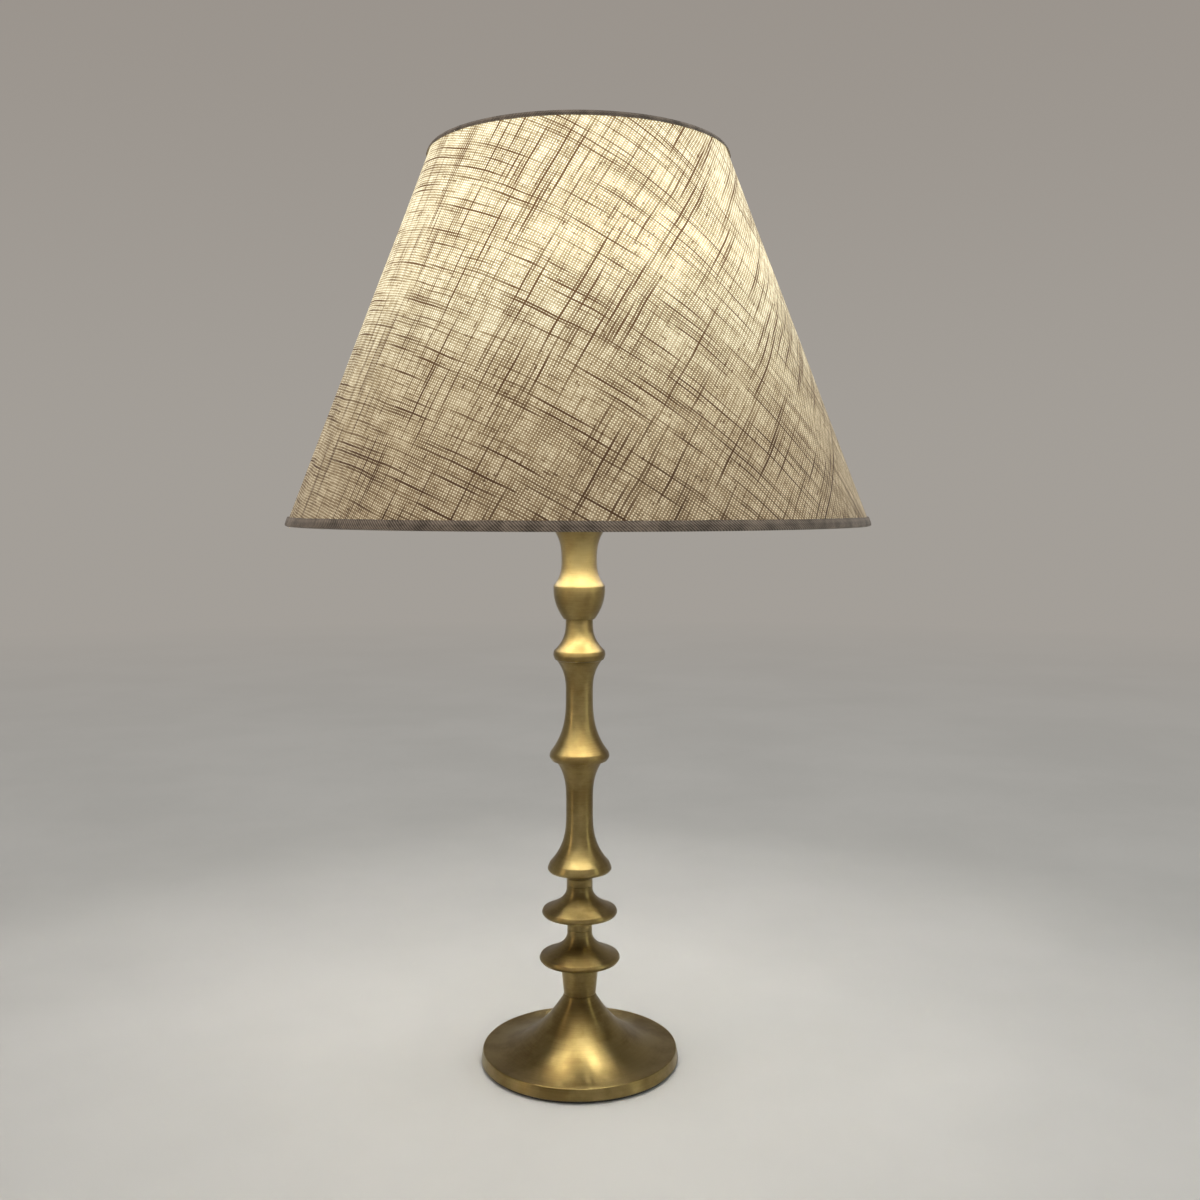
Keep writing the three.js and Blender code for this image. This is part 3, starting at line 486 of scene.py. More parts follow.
def weave(shader):
    """The linen's shine, from 0 in its darkest threads to 1 between threads, and its relief."""
    flat = cloth_flat(shader)
    warp = thread_family(shader, flat, WARP)
    weft = thread_family(shader, flat, WEFT)
    clear = 1.0
    for family in (warp, weft):
        line = shader.times(family["dark"], shader.rescale(family["relief"], 0.25, 0.85))
        clear = shader.times(clear, shader.inverse(shader.times(line, 0.88)))
        clear = shader.times(clear, shader.inverse(shader.times(family["slub"], family["cover"], 0.6)))
    opening = shader.times(shader.inverse(warp["cover"]), shader.inverse(weft["cover"]))
    broad = shader.vector(shader.times(flat[0], 0.055), shader.times(flat[1], 0.055), 11.0)
    cloud = shader.noise(broad, 1.0, 3.0, 0.6)
    body = shader.times(shader.total(warp["body"], weft["body"]), 0.5)
    thread = shader.total(
        shader.rescale(body, 0.34, 0.74, 0.40, 0.28, smooth=False),
        shader.rescale(cloud, 0.3, 0.7, -0.09, 0.09, smooth=False),
    )
    shine = shader.total(shader.times(shader.inverse(opening), thread), shader.times(opening, 1.0))
    parity = shader.math("PINGPONG", shader.total(warp["index"], weft["index"]), 1.0)
    over = shader.times(warp["relief"], shader.total(0.55, shader.times(parity, 0.45)))
    under = shader.times(weft["relief"], shader.total(1.0, shader.times(parity, -0.45)))
    height = shader.math("MAXIMUM", over, under)
    height = shader.total(height, shader.times(shader.total(warp["dark"], weft["dark"]), 0.25))
    return shader.times(shine, clear), height


def globe_light(shader, x, y, z):
    """The globe's light on the shade, painted on: it falls off with the distance from the globe's
    middle.
    """
    low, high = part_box("bulb_globe")
    rise = shader.total(z, -0.5 * (low.z + high.z) / MM)
    squared = shader.total(shader.times(x, x), shader.times(y, y), shader.times(rise, rise))
    return shader.math("POWER", shader.math("DIVIDE", GLOW_REACH ** 2, squared), 1.25)


def linen():
    """Slub linen with the globe's light through it painted on as emission, least in its slubs and most
    between its threads.
    """
    shader = Shader("linen_slub")
    _, x, y, z = shader.place()
    shine, height = weave(shader)
    facing = shader.ramp(shine, [
        (0.04, (0.040, 0.022, 0.013)),
        (0.30, (0.150, 0.102, 0.066)),
        (0.55, (0.35, 0.275, 0.205)),
        (1.0, (0.66, 0.570, 0.460)),
    ])
    through = shader.ramp(shine, [
        (0.04, (0.12, 0.060, 0.020)),
        (0.30, (0.38, 0.300, 0.160)),
        (0.55, (0.72, 0.650, 0.420)),
        (1.0, (1.0, 1.0, 0.760)),
    ])
    # Painted light: the globe's glow through the cloth is painted as emission, falling off with
    # distance and warmer further from the globe.
    light = globe_light(shader, x, y, z)
    near = shader.total(shader.times(light, 0.94), 0.06)
    painted_glow_tint = shader.mix(shader.rescale(light, 0.10, 0.80), FAR_GLOW_TINT, (1.0, 1.0, 1.0))
    glow = shader.mix(1.0, through, painted_glow_tint, "MULTIPLY")
    return shader.surface(shader.principled({
        "Base Color": facing,
        "Roughness": 0.88,
        "Sheen Weight": 0.1,
        "Emission Color": shader.mix(near, (0.0, 0.0, 0.0), glow),
        "Emission Strength": LINEN_GLOW,
        "Normal": shader.bump(height, 0.35, 0.2 * MM),
    }))


def liner():
    """The milky film behind the linen, with the globe's light on it painted as emission that grows the
    nearer the globe is.
    """
    shader = Shader("liner_film")
    where, x, y, z = shader.place()
    cloud = shader.noise(where, 0.02, 3.0, 0.5)
    tint = shader.mix(shader.rescale(cloud, 0.3, 0.7), (0.90, 0.885, 0.84), (0.93, 0.92, 0.89))
    # Painted light: the globe's light on the film, painted as emission.
    near = shader.total(shader.times(globe_light(shader, x, y, z), 0.96), 0.04)
    return shader.surface(shader.principled({
        "Base Color": tint,
        "Roughness": 0.45,
        "Emission Color": shader.mix(near, (0.0, 0.0, 0.0), GLOBE_COLOUR),
        "Emission Strength": FILM_GLOW,
        "Normal": shader.bump(shader.noise(where, 1.2, 2.0), 0.08, 0.05 * MM),
    }))


def hem_tape():
    """Woven tape with a slanting rib, folded round the shade's edges."""
    shader = Shader("hem_tape")
    where, x, y, z = shader.place()
    angle = shader.math("ARCTAN2", x, shader.times(y, -1.0))
    radius = shader.math("SQRT", shader.total(shader.times(x, x), shader.times(y, y)))
    around = shader.times(angle, SHADE_BOTTOM_RADIUS)
    rib = shader.math("SINE", shader.total(shader.times(around, 4.2), shader.times(z, 4.8)))
    rib = shader.total(rib, shader.times(shader.math("SINE", shader.times(radius, 6.1)), 0.3))
    cross = shader.math("SINE", shader.total(shader.times(around, 7.7), shader.times(z, -8.3)))
    fibre = shader.noise(where, 2.2, 3.0, 0.65)
    patch = shader.noise(where, 0.12, 3.0, 0.6)
    height = shader.total(shader.times(rib, 0.32), shader.times(cross, 0.08), shader.times(fibre, 0.8))
    tone = shader.total(shader.times(height, 0.55), shader.times(patch, 0.75))
    colour = shader.mix(shader.rescale(tone, 0.3, 1.0), (0.050, 0.038, 0.028), (0.38, 0.305, 0.245))
    return shader.surface(shader.principled({
        "Base Color": colour,
        "Roughness": 0.93,
        "Sheen Weight": 0.15,
        "Normal": shader.bump(height, 0.7, 0.15 * MM),
    }))


def opal_glass():
    """The lit opal globe: it glows a little less towards its foot."""
    shader = Shader("opal_lit")
    where, _, _, z = shader.place()
    low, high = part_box("bulb_globe")
    rise = shader.rescale(z, low.z / MM, high.z / MM, 0.86, 1.0)
    haze = shader.rescale(shader.noise(where, 0.09, 2.0), 0.3, 0.7, 0.97, 1.03)
    shine = shader.mix(shader.times(rise, haze), (0.0, 0.0, 0.0), GLOBE_COLOUR)
    return shader.surface(shader.principled({
        "Base Color": (0.93, 0.91, 0.86),
        "Roughness": shader.rescale(shader.noise(where, 0.5, 2.0), 0.3, 0.7, 0.16, 0.24),
        "Emission Color": shine,
        "Emission Strength": GLOBE_STRENGTH,
    }))


def make_materials():
    """One material for each of the record's slots."""
    return {
        "stem_brass": brass("brass_stem", (0.185, 0.128, 0.044), (0.31, 0.240, 0.100), 0.34, 0.82),
        "holder_brass": brass("brass_holder", (0.50, 0.36, 0.13), (0.74, 0.58, 0.27), 0.27, 0.6),
        "steel": plain_metal("steel_plated", (0.42, 0.42, 0.43), (0.66, 0.66, 0.68), 0.34, 0.5),
        "iron": plain_metal("iron_cast", (0.05, 0.048, 0.045), (0.15, 0.145, 0.14), 0.62, 0.7),
        "felt": felt(),
        "nylon": moulded("nylon_dark", (0.020, 0.017, 0.014), (0.045, 0.038, 0.031), 0.5, 0.4, 0.25),
        "bakelite": moulded(
            "bakelite_brown", (0.022, 0.012, 0.008), (0.060, 0.036, 0.024), 0.3, 0.25, 0.12
        ),
        "porcelain": moulded(
            "porcelain_glazed", (0.74, 0.72, 0.66), (0.86, 0.84, 0.79), 0.18, 0.15, 0.08
        ),
        "washer_plastic": moulded(
            "washer_white", (0.74, 0.73, 0.70), (0.84, 0.83, 0.80), 0.42, 0.3, 0.15
        ),
        "frame_wire": plain_metal("wire_lacquered", (0.46, 0.45, 0.43), (0.66, 0.65, 0.62), 0.38, 0.4),
        "shade_liner": liner(),
        "shade_linen": linen(),
        "shade_hem": hem_tape(),
        "bulb_cap": plain_metal("lamp_cap_nickel", (0.55, 0.54, 0.52), (0.76, 0.75, 0.73), 0.24, 0.6),
        "bulb_insulator": moulded(
            "lamp_insulator", (0.015, 0.015, 0.016), (0.035, 0.035, 0.037), 0.28, 0.3, 0.1
        ),
        "bulb_body": moulded("lamp_body_white", (0.78, 0.77, 0.74), (0.87, 0.86, 0.84), 0.4, 0.2, 0.1),
        "bulb_board": moulded(
            "lamp_board_white", (0.70, 0.69, 0.64), (0.84, 0.83, 0.80), 0.5, 0.5, 0.1
        ),
        "bulb_glass": opal_glass(),
    }


NODE_SLOTS = {part["node"]: part["material_slot"] for part in frame["record"]["subparts"]}
MATERIALS = make_materials()


def seat_of(node):
    """Height of a CAD node's lowest point, in millimetres."""
    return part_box(node)[0].z / MM


def add_mesh(name, corners, faces, closed=True):
    """Makes an object of points in millimetres, smooth but for its sharp edges."""
    mesh = bpy.data.meshes.new(name)
    mesh.from_pydata([[MM * part for part in corner] for corner in corners], [], faces)
    if closed:
        work = bmesh.new()
        work.from_mesh(mesh)
        bmesh.ops.recalc_face_normals(work, faces=work.faces)
        work.to_mesh(mesh)
        work.free()
    mesh.shade_smooth()
    mesh.set_sharp_from_angle(angle=math.radians(SHARP_ANGLE))
    made = bpy.data.objects.new(name, mesh)
    bpy.context.scene.collection.objects.link(made)
    return made


def stand_for(piece, node):
    """Gives a piece the finish and the body of the CAD node that it replaces."""
    slot = NODE_SLOTS[node]
    piece.data.materials.clear()
    piece.data.materials.append(MATERIALS[slot])
    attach(piece, frame["nodes"][node]["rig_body"])
    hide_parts(node)
    return piece


def rounded(outline, radius, closed=False, steps=4):
    """Rounds each corner of an outline that turns by more than a few degrees."""
    count = len(outline)
    points = []
    for index, (r, z) in enumerate(outline):
        before = outline[index - 1]
        after = outline[(index + 1) % count]
        if not closed and index in (0, count - 1):
            points.append((r, z))
            continue
        back = (before[0] - r, before[1] - z)
        forth = (after[0] - r, after[1] - z)
        back_length = math.hypot(*back)
        forth_length = math.hypot(*forth)
        cosine = -(back[0] * forth[0] + back[1] * forth[1]) / max(back_length * forth_length, 1e-9)
        turn = math.acos(max(-1.0, min(1.0, cosine)))
        if math.degrees(turn) < LEAST_TURN:
            points.append((r, z))
            continue
        reach = min(radius * math.tan(turn / 2), 0.45 * back_length, 0.45 * forth_length)
        start = (r + back[0] * reach / back_length, z + back[1] * reach / back_length)
        end = (r + forth[0] * reach / forth_length, z + forth[1] * reach / forth_length)
        for step in range(steps + 1):
            share = step / steps
            parts = ((1 - share) ** 2, 2 * share * (1 - share), share ** 2)
            points.append((
                parts[0] * start[0] + parts[1] * r + parts[2] * end[0],
                parts[0] * start[1] + parts[1] * z + parts[2] * end[1],
            ))
    return points


def spline(points, steps):
    """A smooth line through points, with level ends."""
    padded = [points[0], *points, points[-1]]
    line = [points[0]]
    for index in range(1, len(padded) - 2):
        a, b, c, d = padded[index - 1:index + 3]
        for step in range(1, steps + 1):
            t = step / steps
            line.append(tuple(
                0.5 * (
                    2 * b[axis]
                    + (c[axis] - a[axis]) * t
                    + (2 * a[axis] - 5 * b[axis] + 4 * c[axis] - d[axis]) * t * t
                    + (3 * b[axis] - a[axis] - 3 * c[axis] + d[axis]) * t ** 3
                )
                for axis in range(len(b))
            ))
    return line


def flare(neck, rim, power, steps=FLARE_STEPS):
    """Outline from a neck to a rim: the radius grows as a power of the height."""
    points = []
    for step in range(steps + 1):
        share = step / steps
        radius = neck[0] + (rim[0] - neck[0]) * share ** power
        points.append((radius, neck[1] + (rim[1] - neck[1]) * share))
    return points


def trumpet(rim, neck, power, steps):
    """Outline from a rim to a neck: the height grows as a power of the distance from the rim."""
    points = []
    for step in range(steps + 1):
        share = step / steps
        height = rim[1] + (neck[1] - rim[1]) * share ** power
        points.append((rim[0] + (neck[0] - rim[0]) * share, height))
    return points


def turned(name, outline, base, sides=STEM_SIDES, shape=None):
    """Turns an outline of (radius, height) about the lamp's axis. A point on the axis closes the end.
    shape, if given, moves a point (radius, height) by its angle."""
    corners = []
    rings = []
    for radius, height in outline:
        ring = []
        for side in range(1 if radius < 1e-6 else sides):
            angle = 2 * math.pi * side / sides
            r, z = shape(radius, height, angle) if shape else (radius, height)
            ring.append(len(corners))
            corners.append((r * math.cos(angle), r * math.sin(angle), base + z))
        rings.append(ring)
    pairs = list(zip(rings, rings[1:]))
    if len(rings[0]) > 1 and len(rings[-1]) > 1:
        pairs.append((rings[-1], rings[0]))
    faces = []
    for lower, upper in pairs:
        for side in range(sides):
            after = (side + 1) % sides
            if len(lower) == 1:
                faces.append((lower[0], upper[after], upper[side]))
            elif len(upper) == 1:
                faces.append((lower[side], lower[after], upper[0]))
            else:
                faces.append((lower[side], lower[after], upper[after], upper[side]))
    return add_mesh(name, corners, faces)


def bored(name, outside, bore, base, sides=STEM_SIDES, edge=EDGE_RADIUS, shape=None):
    """A turned piece with a straight bore and softened edges. Its outside goes from the bottom up."""
    outline = [(bore, outside[0][1]), *outside, (bore, outside[-1][1])]
    return turned(name, rounded(outline, edge, closed=True), base, sides, shape)


def lying_along_x(piece, height):
    """Turns a piece from the lamp's axis onto the X axis, at a height in millimetres."""
    for vertex in piece.data.vertices:
        x, y, z = vertex.co
        vertex.co = (z, y, -x + height * MM)
    return piece


def cut_away(piece, tool):
    """Cuts a tool's shape out of a piece and removes the tool."""
    cutter = piece.modifiers.new("cut", "BOOLEAN")
    cutter.object = tool
    cutter.solver = "EXACT"
    bpy.context.view_layer.update()
    result = piece.evaluated_get(bpy.context.evaluated_depsgraph_get())
    shaped = bpy.data.meshes.new_from_object(result)
    piece.modifiers.clear()
    piece.data = shaped
    bpy.data.objects.remove(tool)
    shaped.shade_smooth()
    shaped.set_sharp_from_angle(angle=math.radians(SHARP_ANGLE))
    return piece


def block(name, low, high):
    """A box between two corners, for cutting."""
    spans = list(zip(low, high))
    corners = [(x, y, z) for x in spans[0] for y in spans[1] for z in spans[2]]
    faces = [(0, 1, 3, 2), (4, 6, 7, 5), (0, 4, 5, 1), (2, 3, 7, 6), (0, 2, 6, 4), (1, 5, 7, 3)]
    return add_mesh(name, corners, faces)


def pin(name, radius, length, base, edge=0.0):
    """A round pin on the lamp's axis, with its ends rounded by an edge radius."""
    outline = [(0, 0), (radius, 0), (radius, length), (0, length)]
    if edge:
        outline = rounded(outline, edge, steps=6)
    return turned(name, outline, base, PIN_SIDES)


def add_foot():
    seat = seat_of("base_foot")
    shoulder = (FOOT_SHOULDER_RADIUS, FOOT_HEIGHT - FOOT_SHOULDER_DROP)
    core_rim = (RIM_EDGE_RADIUS - RIM_WALL, RIM_HEIGHT - FOOT_ROOF_THICK)
    core_top = (FOOT_CORE_RADIUS, FOOT_HEIGHT - FOOT_TOP_THICK)
    crown = spline([
        shoulder,
        ((FOOT_SHOULDER_RADIUS + FOOT_TOP_RADIUS) / 2, FOOT_HEIGHT - FOOT_SHOULDER_DROP / 3),
        (FOOT_TOP_RADIUS, FOOT_HEIGHT),
    ], 4)
    outline = [
        (RIM_RADIUS, 0),
        *trumpet((RIM_EDGE_RADIUS, RIM_HEIGHT), shoulder, FOOT_POWER, FOOT_STEPS),
        *crown[1:],
        (STEM_BORE, FOOT_HEIGHT),
        (STEM_BORE, core_top[1]),
        *reversed(trumpet(core_rim, core_top, FOOT_POWER, FOOT_ROOF_STEPS)),
        (RIM_RADIUS - RIM_WALL, 0),
    ]
    foot = turned("lamp_foot", rounded(outline, WIDE_EDGE_RADIUS, closed=True), seat, FOOT_SIDES)
    notch = block(
        "notch",
        (-NOTCH_WIDTH / 2, RIM_RADIUS - NOTCH_DEPTH, seat - 2),
        (NOTCH_WIDTH / 2, RIM_RADIUS + 5, seat + NOTCH_HEIGHT),
    )
    stand_for(cut_away(foot, notch), "base_foot")


def add_felt():
    """The felt disc under the foot: its cut edge is a little uneven and pressed soft."""
    def uneven(radius, height, angle):
        if radius < FELT_RADIUS / 2:
            return radius, height
        wander = 0.12 * math.sin(7 * angle + 1) + 0.08 * math.sin(19 * angle)
        return radius + wander + 0.05 * math.sin(43 * angle), height

    outline = [(0, 0), (FELT_RADIUS - 0.3, 0), (FELT_RADIUS - 0.2, FELT_THICK), (0, FELT_THICK)]
    outline = rounded(outline, WIDE_EDGE_RADIUS)
    disc = turned("felt_disc", outline, seat_of("felt_pad"), FOOT_SIDES, uneven)
    stand_for(disc, "felt_pad")


def saucer(size):
    """A cove on a foot, a rounded rim over it, and a flare from the rim up to a neck."""
    foot = size["foot"]
    cove = flare(foot, size["cove"], 2, 12)
    rim = spline([size["under"], size["rim"], size["edge"]], 7)
    return [(foot[0], 0), *cove, *rim, *reversed(flare(size["neck"], size["edge"], size["power"])[:-1])]


def collar_ring(size, foot_radius):
    """A rounded rim that stands on the piece below, and the flare from it up to a neck."""
    under, rim = size["under"], size["rim"]
    swell = ((under[0] + 2 * rim[0]) / 3, (under[1] + rim[1]) / 2)
    bead = spline([under, swell, rim, size["edge"]], 6)
    return [(foot_radius, 0), *bead, *reversed(flare(size["neck"], size["edge"], size["power"])[:-1])]


def top_flare(size):
    return flare((size["neck"][0], size["waist"]), size["top"], size["top_power"])


def add_stem():
    def add(node, outside):
        stand_for(bored(node.replace("stem_", "turned_"), outside, STEM_BORE, seat_of(node)), node)

    add("stem_collar", [(COLLAR["bottom_radius"], 0), (COLLAR["top_radius"], COLLAR["height"])])
    add("stem_lower_disc", [*saucer(LOWER_DISC), (LOWER_DISC["neck"][0], LOWER_DISC["height"])])
    add("stem_upper_disc", [*saucer(UPPER_DISC), (UPPER_DISC["neck"][0], UPPER_DISC["height"])])
    add("stem_lower_column", [*saucer(LOWER_COLUMN), *top_flare(LOWER_COLUMN)])
    column_foot = collar_ring(UPPER_COLUMN, LOWER_COLUMN["top"][0])
    add("stem_upper_column", [*column_foot, *top_flare(UPPER_COLUMN)])
    neck_top = (NECK_RING["neck"][0], NECK_RING["height"])
    add("stem_neck_ring", [*collar_ring(NECK_RING, UPPER_COLUMN["top"][0]), neck_top])
    add("stem_bowl", [
        *reversed(flare(BOWL["rim"], (BOWL["bottom_radius"], 0), BOWL["power"])),
        (CUP["edge_radius"], BOWL["height"]),
    ])
    add("stem_cup", [
        *reversed(flare(CUP["waist"], (CUP["edge_radius"], 0), CUP["power"])),
        *flare(CUP["waist"], CUP["flare"], CUP["power"])[1:],
        *spline([CUP["lip"], (CUP["lip"][0], CUP["lip_top"]), CUP["top"]], 4),
    ])


def add_holder_cap():
    seat = seat_of("holder_cap")
    outline = [(STEM_BORE, 0), *CAP_OUTLINE, *CAP_INSIDE]
    cap = turned("holder_lower_cup", rounded(outline, CAP_EDGE_RADIUS, closed=True, steps=6), seat)
    bar_hole = pin("bar_hole", BAR_HOLE_RADIUS, BAR_HOLE_LENGTH, -BAR_HOLE_LENGTH / 2)
    cap = cut_away(cap, lying_along_x(bar_hole, seat + BAR_Z))
    grub_hole = pin("grub_hole", GRUB_HOLE_RADIUS, GRUB_HOLE_LENGTH, 0.0)
    lying_along_x(grub_hole, seat + GRUB_HOLE_Z)
    for vertex in grub_hole.data.vertices:
        x, y, z = vertex.co
        vertex.co = (-y, x, z)
    stand_for(cut_away(cap, grub_hole), "holder_cap")


def add_switch():
    height = seat_of("holder_cap") + BAR_Z
    for node, radius, edge in (
        ("switch_bar", BAR_RADIUS, 0.2),
        ("switch_button_left", BUTTON_RADIUS, 1.1),
        ("switch_button_right", BUTTON_RADIUS, 1.1),
    ):
        low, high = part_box(node)
        length = (high.x - low.x) / MM
        piece = pin(node.replace("switch", "push"), radius, length, low.x / MM, edge=edge)
        stand_for(lying_along_x(piece, height), node)


def screw_thread(crest, depth, pitch, span):
    """A shape for turned(): moves a point on the crest radius into a helical groove."""
    def shape(radius, height, angle):
        if abs(radius - crest) > 1e-6:
            return radius, height
        phase = (height / pitch - angle / (2 * math.pi)) % 1.0
        groove = 0.5 + 0.5 * math.cos(2 * math.pi * phase)
        start = max(0.0, min(1.0, (height - span[0]) / THREAD_LEAD_IN))
        end = max(0.0, min(1.0, (span[1] - height) / THREAD_LEAD_IN))
        return radius - depth * (1 - start * end * (1 - groove)), height

    return shape


def threaded_side(crest, low, high, step):
    count = round((high - low) / step)
    return [(crest, low + (high - low) * index / count) for index in range(count + 1)]


def add_holder_skirt():
    inside = HOLDER_RADIUS - SKIRT_WALL
    lip = SKIRT_HEIGHT - SKIRT_LIP_THICK
    outline = [
        (inside, 0),
        (inside + 0.2, 0),
        *threaded_side(HOLDER_RADIUS, 0.1, SKIRT_HEIGHT - 0.5, RING_PITCH / 8),
        (HOLDER_RADIUS - RING_THREAD_DEPTH - 0.5, SKIRT_HEIGHT),
        (SKIRT_LIP_RADIUS + 0.3, SKIRT_HEIGHT),
        (SKIRT_LIP_RADIUS, SKIRT_HEIGHT - 0.3),
        (SKIRT_LIP_RADIUS, lip),
        (inside, lip),
    ]
    shape = screw_thread(HOLDER_RADIUS, RING_THREAD_DEPTH, RING_PITCH, RING_THREAD_SPAN)
    skirt = turned("holder_threaded_skirt", outline, seat_of("holder_skirt"), shape=shape)
    stand_for(skirt, "holder_skirt")


def ribbed(radius, height, angle):
    """Shallow ribs round a clamping ring's flange."""
    if radius < RING_HUB_RADIUS + 1.5:
        return radius, height
    return radius - RING_RIB_DEPTH * (0.5 - 0.5 * math.cos(RING_RIB_COUNT * angle)) ** 2, height


def add_rings():
    for node, flange_low in (("lower_shade_ring", False), ("upper_shade_ring", True)):
        low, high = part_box(node)
        height = (high.z - low.z) / MM
        split = RING_FLANGE_THICK if flange_low else height - RING_FLANGE_THICK
        first = RING_FLANGE_RADIUS if flange_low else RING_HUB_RADIUS
        second = RING_HUB_RADIUS if flange_low else RING_FLANGE_RADIUS
        outside = [(first, 0), (first, split), (second, split), (second, height)]
        name = node.replace("shade_ring", "clamp_ring")
        ring = bored(name, outside, RING_BORE, low.z / MM, RING_SIDES, RING_EDGE_RADIUS, ribbed)
        stand_for(ring, node)
    for node, name, bore in (
        ("shade_washer", "washer_ring", RING_BORE),
        ("fitter_ring", "carrier_ring", CARRIER_BORE),
    ):
        low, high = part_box(node)
        outside = [(high.x / MM, 0), (high.x / MM, (high.z - low.z) / MM)]
        ring = bored(name, outside, bore, low.z / MM, SHADE_SIDES, CARRIER_EDGE_RADIUS)
        stand_for(ring, node)


def add_lamp_cap():
    low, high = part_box("bulb_cap")
    cap_height = (high.z - low.z) / MM
    outline = [
        (LAMP_CAP_INSIDE, 0),
        (LAMP_CAP_INSIDE + 0.5, 0),
        *threaded_side(LAMP_CREST_RADIUS, 0.2, LAMP_CREST_TOP, LAMP_PITCH / 10),
        (LAMP_CREST_RADIUS - LAMP_THREAD_DEPTH, cap_height),
        (LAMP_CAP_INSIDE, cap_height),
    ]
    shape = screw_thread(LAMP_CREST_RADIUS, LAMP_THREAD_DEPTH, LAMP_PITCH, LAMP_THREAD_SPAN)
    stand_for(turned("lamp_screw_cap", outline, low.z / MM, shape=shape), "bulb_cap")


def add_lamp_body():
    outside = flare((BODY_FOOT_RADIUS, 0), (BODY_RADIUS, BODY_HEIGHT), 1 / BODY_POWER)
    inside = [(radius - BODY_WALL, height) for radius, height in reversed(outside)]
    body = rounded([*outside, *inside], WIDE_EDGE_RADIUS, closed=True)
    stand_for(turned("lamp_heat_body", body, seat_of("bulb_body")), "bulb_body")


def dome(radius):
    """Section of the globe from the body's edge up to its crown."""
    centre = math.sqrt(GLOBE_RADIUS ** 2 - BODY_RADIUS ** 2)
    lowest = -math.asin(centre / GLOBE_RADIUS)
    points = []
    for step in range(DOME_STEPS):
        angle = lowest + (math.pi / 2 - lowest) * step / DOME_STEPS
        points.append((radius * math.cos(angle), centre + radius * math.sin(angle)))
    return [*points, (0, centre + radius)]


def add_globe():
    inner = dome(GLOBE_RADIUS - GLOBE_WALL)
    inner[0] = (BODY_RADIUS - GLOBE_WALL, 0)
    section = [*reversed(inner), *dome(GLOBE_RADIUS)]
    stand_for(turned("lamp_opal_globe", section, seat_of("bulb_globe")), "bulb_globe")


def shade_radius(height):
    return SHADE_BOTTOM_RADIUS - SHADE_SLOPE * height


def wrapped_sheet(name, grid, span, depth_at):
    """A sheet bent round the shade's cone, as a grid of (rows, columns). span is its first and last
    angle from the rear, and depth_at its depth under the shade's outside by angle and height."""
    rows, columns = grid
    base = seat_of("bottom_hem")
    corners = []
    for row in range(rows + 1):
        height = PANEL_INSET + (SHADE_HEIGHT - 2 * PANEL_INSET) * row / rows
        for column in range(columns + 1):
            angle = span[0] + (span[1] - span[0]) * column / columns
            radius = shade_radius(height) - depth_at(angle, height)
            corners.append((radius * -math.sin(angle), radius * math.cos(angle), base + height))
    width = columns + 1
    faces = []
    for row in range(rows):
        for column in range(columns):
            first = row * width + column
            faces.append((first, first + 1, first + 1 + width, first + width))
    return add_mesh(name, corners, faces, closed=False)


def linen_depth(angle, height):
    """The cloth wanders a little, and at the rear its last end laps over its first."""
    lap = SEAM_LAP / shade_radius(height)
    over = min(1.0, max(0.0, (angle - (2 * math.pi - lap)) / (0.6 * lap)))
    under = min(1.0, max(0.0, (1.4 * lap - angle) / (0.6 * lap)))
    wander = 0.05 * math.sin(9 * angle + height / 21) + 0.04 * math.sin(23 * angle - height / 13)
    return LINEN_DEPTH - wander - SEAM_STEP * over + SEAM_STEP * 0.6 * under


def add_shade_panels():
    lap = SEAM_LAP / SHADE_BOTTOM_RADIUS
    cloth = wrapped_sheet("linen_cover", LINEN_GRID, (0.0, 2 * math.pi + lap), linen_depth)
    film_span = (LINER_TURN, 2 * math.pi + LINER_TURN)
    film = wrapped_sheet("liner_sheet", LINER_GRID, film_span, lambda *_: LINER_DEPTH)
    stand_for(film, "shade_liner")
    stand_for(cloth, "shade_fabric")
    return cloth


def hem_outline(band):
    """Section of the tape folded round the wire, as (depth, rise) points from outside to inside."""
    middle = HEM_LEAF_DEPTH + HEM_THICK
    outside = [(0.0, band), (0.0, 1.6), (0.35, 0.5), (1.4, 0.0)]
    fold = [(middle - 1.4, 0.0), (middle - 0.35, 0.5), (middle, 1.6), (middle, band)]
    inside = [(HEM_LEAF_DEPTH, band), (HEM_LEAF_DEPTH, 1.5), (HEM_LEAF_DEPTH - 0.8, HEM_EDGE_THICK)]
    back = [(1.3, HEM_EDGE_THICK), (HEM_THICK, 1.5), (HEM_THICK, band)]
    return rounded([*outside, *fold, *inside, *back], HEM_EDGE_RADIUS, closed=True, steps=3)


def add_hem(node, name, inward, band, seed):
    """A tape hem. inward is 1 if it rises from the lower edge, and -1 if it hangs from the upper."""
    edge = 0.0 if inward > 0 else SHADE_HEIGHT
    points = []
    for depth, rise in hem_outline(band):
        height = edge + inward * rise
        points.append((shade_radius(height) - depth, height))

    def uneven(radius, height, angle):
        reach = abs(height - edge)
        wave = 0.10 * math.sin(11 * angle + seed) + 0.07 * math.sin(29 * angle + 2 * seed)
        wave += 0.05 * math.sin(61 * angle - seed)
        ripple = 0.04 * math.sin(37 * angle + height) + 0.03 * math.sin(83 * angle + 3 * seed)
        return radius - abs(ripple), height + inward * wave * max(0.0, reach - 2.0) / band

    hem = turned(name, points, seat_of("bottom_hem"), SHADE_SIDES * 2, uneven)
    return stand_for(hem, node)


def ring_of_wire(node, name):
    low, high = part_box(node)
    outer = high.x / MM
    centre = ((high.z - low.z) / MM) / 2
    section = []
    for step in range(WIRE_SIDES):
        angle = 2 * math.pi * step / WIRE_SIDES
        out = outer - WIRE_RADIUS * (1 - math.cos(angle))
        section.append((out, centre + WIRE_RADIUS * math.sin(angle)))
    stand_for(turned(name, section, low.z / MM, SHADE_SIDES), node)


